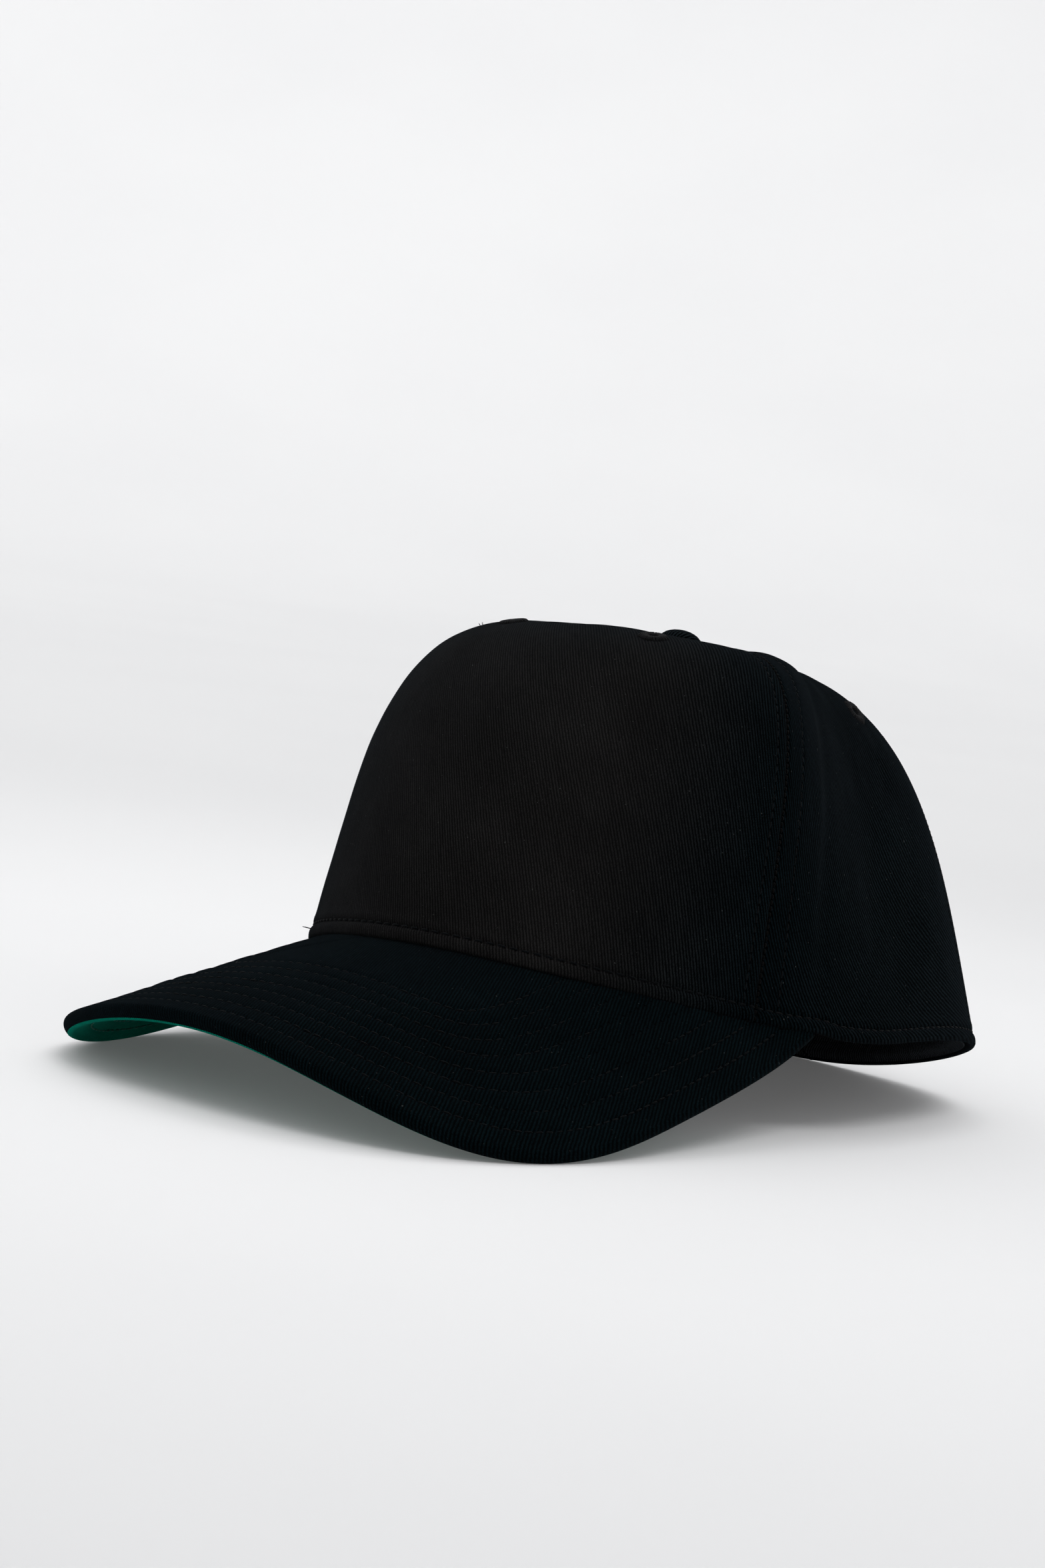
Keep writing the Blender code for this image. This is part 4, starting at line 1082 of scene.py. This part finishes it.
def edge_distance(flat):
    """Distance of flat points from the visor's outline, and the run along it of the nearest point."""
    spots = flat.reshape(-1, 2)
    distance, run = np.empty(len(spots)), np.empty(len(spots))
    for first in range(0, len(spots), 2000):
        block = spots[first:first + 2000]
        apart = np.linalg.norm(block[:, None] - FINE_OUTLINE[None], axis=-1)
        nearest = np.argmin(apart, axis=1)
        distance[first:first + 2000] = apart[np.arange(len(block)), nearest]
        run[first:first + 2000] = FINE_RUN[nearest]
    return distance.reshape(flat.shape[:-1]), run.reshape(flat.shape[:-1])


def visor_relief(distance, run, size):
    """Relief of the stitched visor cloth: a furrow at each row and puckers between them."""
    relief = np.zeros_like(distance)
    for number, row_at in enumerate(VISOR_ROWS_AT):
        depth = 1 + 0.35 * soft_noise(run / 0.009, 0 * run + number, 21)
        relief -= 0.00030 * depth * ridge(distance, row_at, 0.00065)
    last = VISOR_ROWS_AT[-1] + 0.004
    within = ramp(distance, 0.003, 0.007) * (1 - ramp(distance, last, last + 0.006))
    pucker = soft_noise(run / 0.0072 + 0.35 * distance / 0.006, distance / 0.0075, 22)
    relief += 0.00016 * within * pucker
    relief += 0.00030 * soft_noise(run / 0.045, distance / 0.03, 23) * ramp(distance, 0.004, 0.016)
    return relief * size


def visor_values(distance, run):
    """Needle-row values for the visor's cloth."""
    gaps = np.stack([distance - row_at for row_at in VISOR_ROWS_AT])
    row_gap, row_run = nearest_row(gaps, np.broadcast_to(run / VISOR_PITCH, gaps.shape))
    return {"row_gap": row_gap, "row_run": row_run}


def make_visor_top():
    """The upper cloth, which wraps round the board's edge and ends on the underside."""
    shares = np.linspace(0, 1, 84)
    rows = visor_flat(VISOR_ROUND, shares)
    distance, run = edge_distance(rows)
    depths = -visor_relief(distance, run, 1.0) * ramp(distance, 0.0015, 0.004)
    centre = VISOR_TOTAL / 2
    edge, edge_depth = [], []
    for angle in np.linspace(0, math.pi, 15)[1:]:
        edge.append(visor_flat(VISOR_ROUND * (1 - math.sin(angle)), [1.0])[0])
        edge_depth.append(np.full(VISOR_COUNT, centre * (1 - math.cos(angle))))
    for margin in (VISOR_WRAP - 0.0002, VISOR_WRAP + 0.0001):
        edge.append(visor_flat(margin, [1.0])[0])
        edge_depth.append(np.full(VISOR_COUNT, VISOR_TOTAL))
    edge.append(visor_flat(VISOR_UNDER_EDGE, [1.0])[0])
    edge_depth.append(np.full(VISOR_COUNT, VISOR_TOTAL - VISOR_CLOTH))
    flat = np.concatenate([rows, np.array(edge)])
    depth = np.concatenate([depths, np.array(edge_depth)])
    points = visor_layer(flat, depth)
    run_down = run_lengths(points)
    over_edge = flat[len(rows) - 1, :, 1] + run_down - run_down[len(rows) - 1]
    on_top = np.arange(len(flat))[:, None] < len(rows)
    uv = woven_uv(flat[..., 0], np.where(on_top, flat[..., 1], over_edge), "visor")
    values = {"row_gap": np.full(depth.shape, FAR_FROM_ROWS), "row_run": np.full(depth.shape, 0.0),
              "painted_light": np.full(depth.shape, 0.0)}
    found = visor_values(distance, run)
    for key, data in found.items():
        values[key][:len(rows)] = data
    piece = mesh_piece("cloth_visor_top", points.reshape(-1, 3), grid_faces(*points.shape[:2])[:, ::-1],
                       SHADED_VISOR_TWILL, uv.reshape(-1, 2), values)
    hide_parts("visor_top_fabric")
    return piece


def make_visor_under():
    """The green under cloth, with the same rows of stitching."""
    shares = np.linspace(0, 1, 84)
    skip = 6
    rows = visor_flat(VISOR_UNDER_EDGE, shares)[:, skip:-skip]
    distance, run = edge_distance(rows)
    bottom = VISOR_TOTAL - 0.00002
    relief = visor_relief(distance, run, 0.7)
    depth = bottom + relief * ramp(distance, 0.003, 0.005)
    # The under cloth rolls out over the lower part of the edge, further on the wearer's right.
    rim = visor_flat(0.0, [1.0])[0][skip:-skip]
    inner = visor_flat(VISOR_ROUND, [1.0])[0][skip:-skip]
    roll = math.pi * (0.29 - 0.20 * ramp(rim[:, 0], 0.015, 0.050))
    rolled, rolled_depth = [], []
    for share in np.linspace(0, 1, 7):
        reach = np.sin(share * roll)[:, None]
        rolled.append(inner + (rim - inner) * reach * 1.05)
        rolled_depth.append(VISOR_TOTAL / 2 * (1 + np.cos(share * roll)) + 0.00012)
    rolled.append(inner + (rim - inner) * reach * 0.85)
    rolled_depth.append(rolled_depth[-1] - 0.0002)
    flat = np.concatenate([rows, np.array(rolled)])
    points = visor_layer(flat, np.concatenate([depth, np.array(rolled_depth)]))
    uv = turned_uv(flat[..., 0], flat[..., 1], 18)
    found = visor_values(distance, run)
    values = {key: np.concatenate([data, np.repeat(data[-1:], len(rolled), axis=0)])
              for key, data in found.items()}
    values["painted_light"] = np.full(points.shape[:2], 0.5)
    piece = mesh_piece("cloth_visor_under", points.reshape(-1, 3), grid_faces(*points.shape[:2]),
                       GREEN_TWILL, uv.reshape(-1, 2), values)
    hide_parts("visor_under_fabric")
    return piece


def visor_stitch_lines(depth, facing):
    """The rows of stitching as lines on the visor, cut where they reach the crown."""
    outward = outward_from(FINE_OUTLINE)
    lines = []
    for row_at in VISOR_ROWS_AT:
        row = FINE_OUTLINE - outward * row_at
        distance, _ = edge_distance(row)
        place_at = visor_surface(row[:, 0], row[:, 1])
        radius = np.hypot(place_at[:, 0], place_at[:, 1])
        clear = radius - hem_radius(np.arctan2(place_at[:, 0], -place_at[:, 1]))
        kept = (distance > row_at - 0.0004) & (clear > 0.0012) & (place_at[:, 1] < 0)
        if kept.sum() < 20:
            continue
        row = resample(row[kept], 500)
        lines.append((visor_layer(row, np.full(len(row), depth)), facing * visor_normal(row)))
    return lines


visor_top = make_visor_top()
visor_under = make_visor_under()
stitch_mesh("stitches_visor_top", visor_stitch_lines(0.00028, 1), VISOR_PITCH, SHADED_VISOR_THREAD,
            radius=VISOR_THREAD_RADIUS)
stitch_mesh("stitches_visor_under", visor_stitch_lines(VISOR_TOTAL - 0.00018, -1), VISOR_PITCH,
            GREEN_THREAD, radius=VISOR_THREAD_RADIUS)


# ---------------------------------------------------------------- button and eyelets

# The cloth cover's lower edge and its crown, which stands a little over the CAD's button.
BUTTON_BASE_AT, BUTTON_CROWN_AT = BUTTON_TOP - 0.0030, BUTTON_TOP + 0.0022
BUTTON_COLUMNS, BUTTON_GATHERS, GATHER_DEPTH = 96, 14, 0.018
# The thread wound round an eyelet: its turns, their points and sides, and the thread's radius.
EYELET_TURNS, EYELET_POINTS, EYELET_SIDES, EYELET_THREAD_RADIUS = 46, 13, 6, 0.00021


def make_button():
    """The button's cloth cover: a dome with soft gathers at its rim, turned under."""
    base, top = BUTTON_BASE_AT, BUTTON_CROWN_AT
    profile = [(0.0, top), (0.0008, top - 0.00002), (0.0016, top - 0.0001),
               (0.0026, top - 0.0003), (0.0036, top - 0.00065), (0.0045, top - 0.0011),
               (0.0053, top - 0.0018), (0.0059, top - 0.0026), (0.0063, base + 0.0010),
               (BUTTON_RADIUS, base + 0.0005), (0.0063, base + 0.0002), (0.0061, base), (0.0056, base),
               (0.0054, base + 0.0003)]
    turn = np.linspace(0, 2 * math.pi, BUTTON_COLUMNS, endpoint=False)
    folds = 0.5 + 0.5 * np.cos(BUTTON_GATHERS * turn + 0.6 * np.sin(3 * turn))
    points, flat, run = [], [], 0.0
    for number, (radius, height) in enumerate(profile):
        if number:
            run += math.hypot(radius - profile[number - 1][0], height - profile[number - 1][1])
        reach = radius * (1 - GATHER_DEPTH * ramp(radius, 0.0030, 0.0062) * folds)
        points.append(np.stack([reach * np.cos(turn), reach * np.sin(turn), height + 0 * turn], -1))
        flat.append(np.stack([run * np.cos(turn), run * np.sin(turn)], -1))
    points = np.array(points)
    faces = grid_faces(len(profile), BUTTON_COLUMNS, closed=True)
    piece = mesh_piece("cloth_button", points.reshape(-1, 3) + APEX, faces, LIT_BUTTON_TWILL,
                       np.array(flat).reshape(-1, 2), {"painted_light": np.full(points.shape[:2], 0.2)})
    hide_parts("button_cover")
    return piece


def make_eyelet(name, theta, share, through):
    """An embroidered eyelet: close turns of thread over the cloth, round a punched hole."""
    height = share * float(crown_length(theta))
    centre = crown_at(np.array(theta), np.array(height), np.array(0.0))
    normal = Vector(crown_normal_at(theta, height))
    turn_matrix = np.array(normal.to_track_quat("Z", "Y").to_matrix())
    steps, sides = EYELET_POINTS, EYELET_SIDES
    ring = np.linspace(0, 2 * math.pi, sides, endpoint=False)
    sweep = np.linspace(0, 1, steps)
    points, faces, uv, first = [], [], [], 0
    for number in range(EYELET_TURNS):
        angle = 2 * math.pi * (number + RANDOM.uniform(-0.18, 0.18)) / EYELET_TURNS
        outer = EYELET_FLANGE - 0.00025 + RANDOM.uniform(-0.00016, 0.00016)
        inner = EYELET_HOLE - 0.00015 + RANDOM.uniform(-0.0001, 0.0001)
        reach = np.where(sweep < 0.25, inner, inner + (outer - inner) * (sweep - 0.25) / 0.75)
        rise = np.where(sweep < 0.25, -0.0012 + 0.0013 * sweep / 0.25,
                        0.0001 + 0.00040 * np.sin(math.pi * np.clip((sweep - 0.15) / 0.85, 0, 1)))
        rise = rise - 0.00035 * ramp(sweep, 0.85, 1.0)
        slant = angle + 0.10 * sweep + RANDOM.uniform(-0.02, 0.02)
        line = np.stack([reach * np.cos(slant), reach * np.sin(slant), rise], -1)
        forward = np.gradient(line, axis=0)
        forward /= np.linalg.norm(forward, axis=-1, keepdims=True)
        side = np.stack([-np.sin(slant), np.cos(slant), 0 * slant], -1)
        up = np.cross(forward, side)
        shell = line[:, None] + EYELET_THREAD_RADIUS * (
            side[:, None] * np.cos(ring)[None, :, None] + up[:, None] * np.sin(ring)[None, :, None])
        points.append(shell.reshape(-1, 3))
        run = run_lengths(line)[:, None] + 0 * ring
        along = run + number * 0.01
        uv.append(np.stack([ring * EYELET_THREAD_RADIUS + 0 * run, along], -1).reshape(-1, 2))
        faces += grid_faces(steps, sides, closed=True, first=first).tolist()
        faces.append([first + k for k in reversed(range(sides))])
        faces.append([first + (steps - 1) * sides + k for k in range(sides)])
        first += steps * sides
    spots = np.concatenate(points)
    back = spots.copy()
    back[:, 2] = -back[:, 2] - through - 0.0009
    back[:, :2] *= EYELET_BACK / EYELET_FLANGE
    count = len(spots)
    mirrored = [[corner + count for corner in face][::-1] for face in faces]
    spots = np.concatenate([spots, back]) @ turn_matrix.T + centre
    piece = mesh_piece(f"thread_{name}", spots, faces + mirrored, EYELET_THREAD,
                       np.concatenate(uv + uv))
    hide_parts(name)
    return piece


button = make_button()
for spot_name, (spot_theta, spot_share), through_cloth in (
        ("front", FRONT_EYELETS, STIFFENER_DEPTH + STIFFENER),
        ("side", SIDE_EYELETS, PANEL),
        ("back", BACK_EYELETS, PANEL)):
    for side_name, sign in (("left", 1), ("right", -1)):
        make_eyelet(f"eyelet_{spot_name}_{side_name}", sign * spot_theta, spot_share, through_cloth)

for node, finish in (("visor_board", BOARD), ("button_shell", METAL), ("button_washer", METAL)):
    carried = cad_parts[node]
    carried.data.materials.clear()
    carried.data.materials.append(finish)


# ---------------------------------------------------------------- floor, light and camera

FLOOR_REACH, WALL_BEND, WALL_HEIGHT = 2.0, 1.6, 4.0
# Light given off by the paper itself, in place of what a lit studio floor passes on from below.
FLOOR_GLOW = 0.075
SURROUND_COLOUR, SURROUND_STRENGTH = (0.985, 0.99, 1.0, 1), 0.98
# Each lamp's strength, width in degrees and the direction it stands in.
LAMPS = {
    "key": (1.55, 36, (0.80, -0.45, 1.05)),
    "rim": (0.55, 40, (-0.60, 0.75, 0.90)),
}
CAMERA_PLACE = (0.7030, -0.9320, 0.1884)
CAMERA_TURN = (84.592, -7.297, 38.266)
CAMERA_SENSOR, CAMERA_LENS = 36.0, 102.01


def make_floor():
    """A plain pale floor that curves up all round into a plain backdrop."""
    made = Shader("floor_paper", 0.9, specular=0.1)
    made.shader.inputs["Emission Color"].default_value = (1, 1, 1, 1)
    made.shader.inputs["Emission Strength"].default_value = FLOOR_GLOW
    where = made.node("ShaderNodeTexCoord").outputs["Object"]
    grain = made.noise(where, 900, detail=2.0)
    colour = made.mix(made.mapped(made.noise(where, 3, detail=2.0), 0.3, 0.7), (0.80, 0.80, 0.805),
                      (0.82, 0.82, 0.823))
    reach = made.node("ShaderNodeVectorMath", {0: where}, operation="LENGTH").outputs["Value"]
    # Painted shade: the paper is painted darker further from the cap, which evens out how bright the lit
    # floor and backdrop look.
    painted_falloff = made.mapped(reach, 0.15, 0.75, 0.97, 0.80)
    colour = made.mix(1.0, colour, made.grey(painted_falloff), "MULTIPLY")
    material = made.finish(colour, grain, distance=0.00002, strength=0.3)
    turn = np.linspace(0, 2 * math.pi, 128, endpoint=False)
    profile = [(0.02, 0.0), (0.5, 0.0), (FLOOR_REACH, 0.0)]
    profile += [(FLOOR_REACH + WALL_BEND * math.sin(angle), WALL_BEND * (1 - math.cos(angle)))
                for angle in np.linspace(0, math.pi / 2, 24)[1:]]
    profile.append((FLOOR_REACH + WALL_BEND, WALL_HEIGHT))
    points = [(radius * math.cos(angle), radius * math.sin(angle), height)
              for radius, height in profile for angle in turn]
    faces = grid_faces(len(profile), len(turn), closed=True).tolist() + [list(range(len(turn)))[::-1]]
    mesh = bpy.data.meshes.new("floor")
    mesh.from_pydata(points, [], faces)
    mesh.shade_smooth()
    mesh.materials.append(material)
    floor = bpy.data.objects.new("floor", mesh)
    bpy.context.collection.objects.link(floor)


def make_light():
    """Soft studio light: an even surround, a wide soft key from the right and a weaker one behind."""
    scene = bpy.context.scene
    scene.view_settings.view_transform = "Standard"
    world = bpy.data.worlds.new("studio")
    world.use_nodes = True
    surround = world.node_tree.nodes["Background"]
    surround.inputs["Color"].default_value = SURROUND_COLOUR
    surround.inputs["Strength"].default_value = SURROUND_STRENGTH
    scene.world = world
    for name, (strength, angle, direction) in LAMPS.items():
        lamp = bpy.data.lights.new(name, "SUN")
        lamp.energy = strength
        lamp.angle = math.radians(angle)
        light = bpy.data.objects.new(name, lamp)
        light.rotation_euler = Vector(direction).to_track_quat("Z", "Y").to_euler()
        bpy.context.collection.objects.link(light)


def make_camera():
    """The camera, low and ahead of the cap on the wearer's left."""
    data = bpy.data.cameras.new("camera")
    data.sensor_width = CAMERA_SENSOR
    data.lens = CAMERA_LENS
    camera = bpy.data.objects.new("camera", data)
    camera.location = CAMERA_PLACE
    camera.rotation_euler = [math.radians(angle) for angle in CAMERA_TURN]
    bpy.context.collection.objects.link(camera)
    bpy.context.scene.camera = camera


make_floor()
make_light()
make_camera()

bpy.context.view_layer.update()
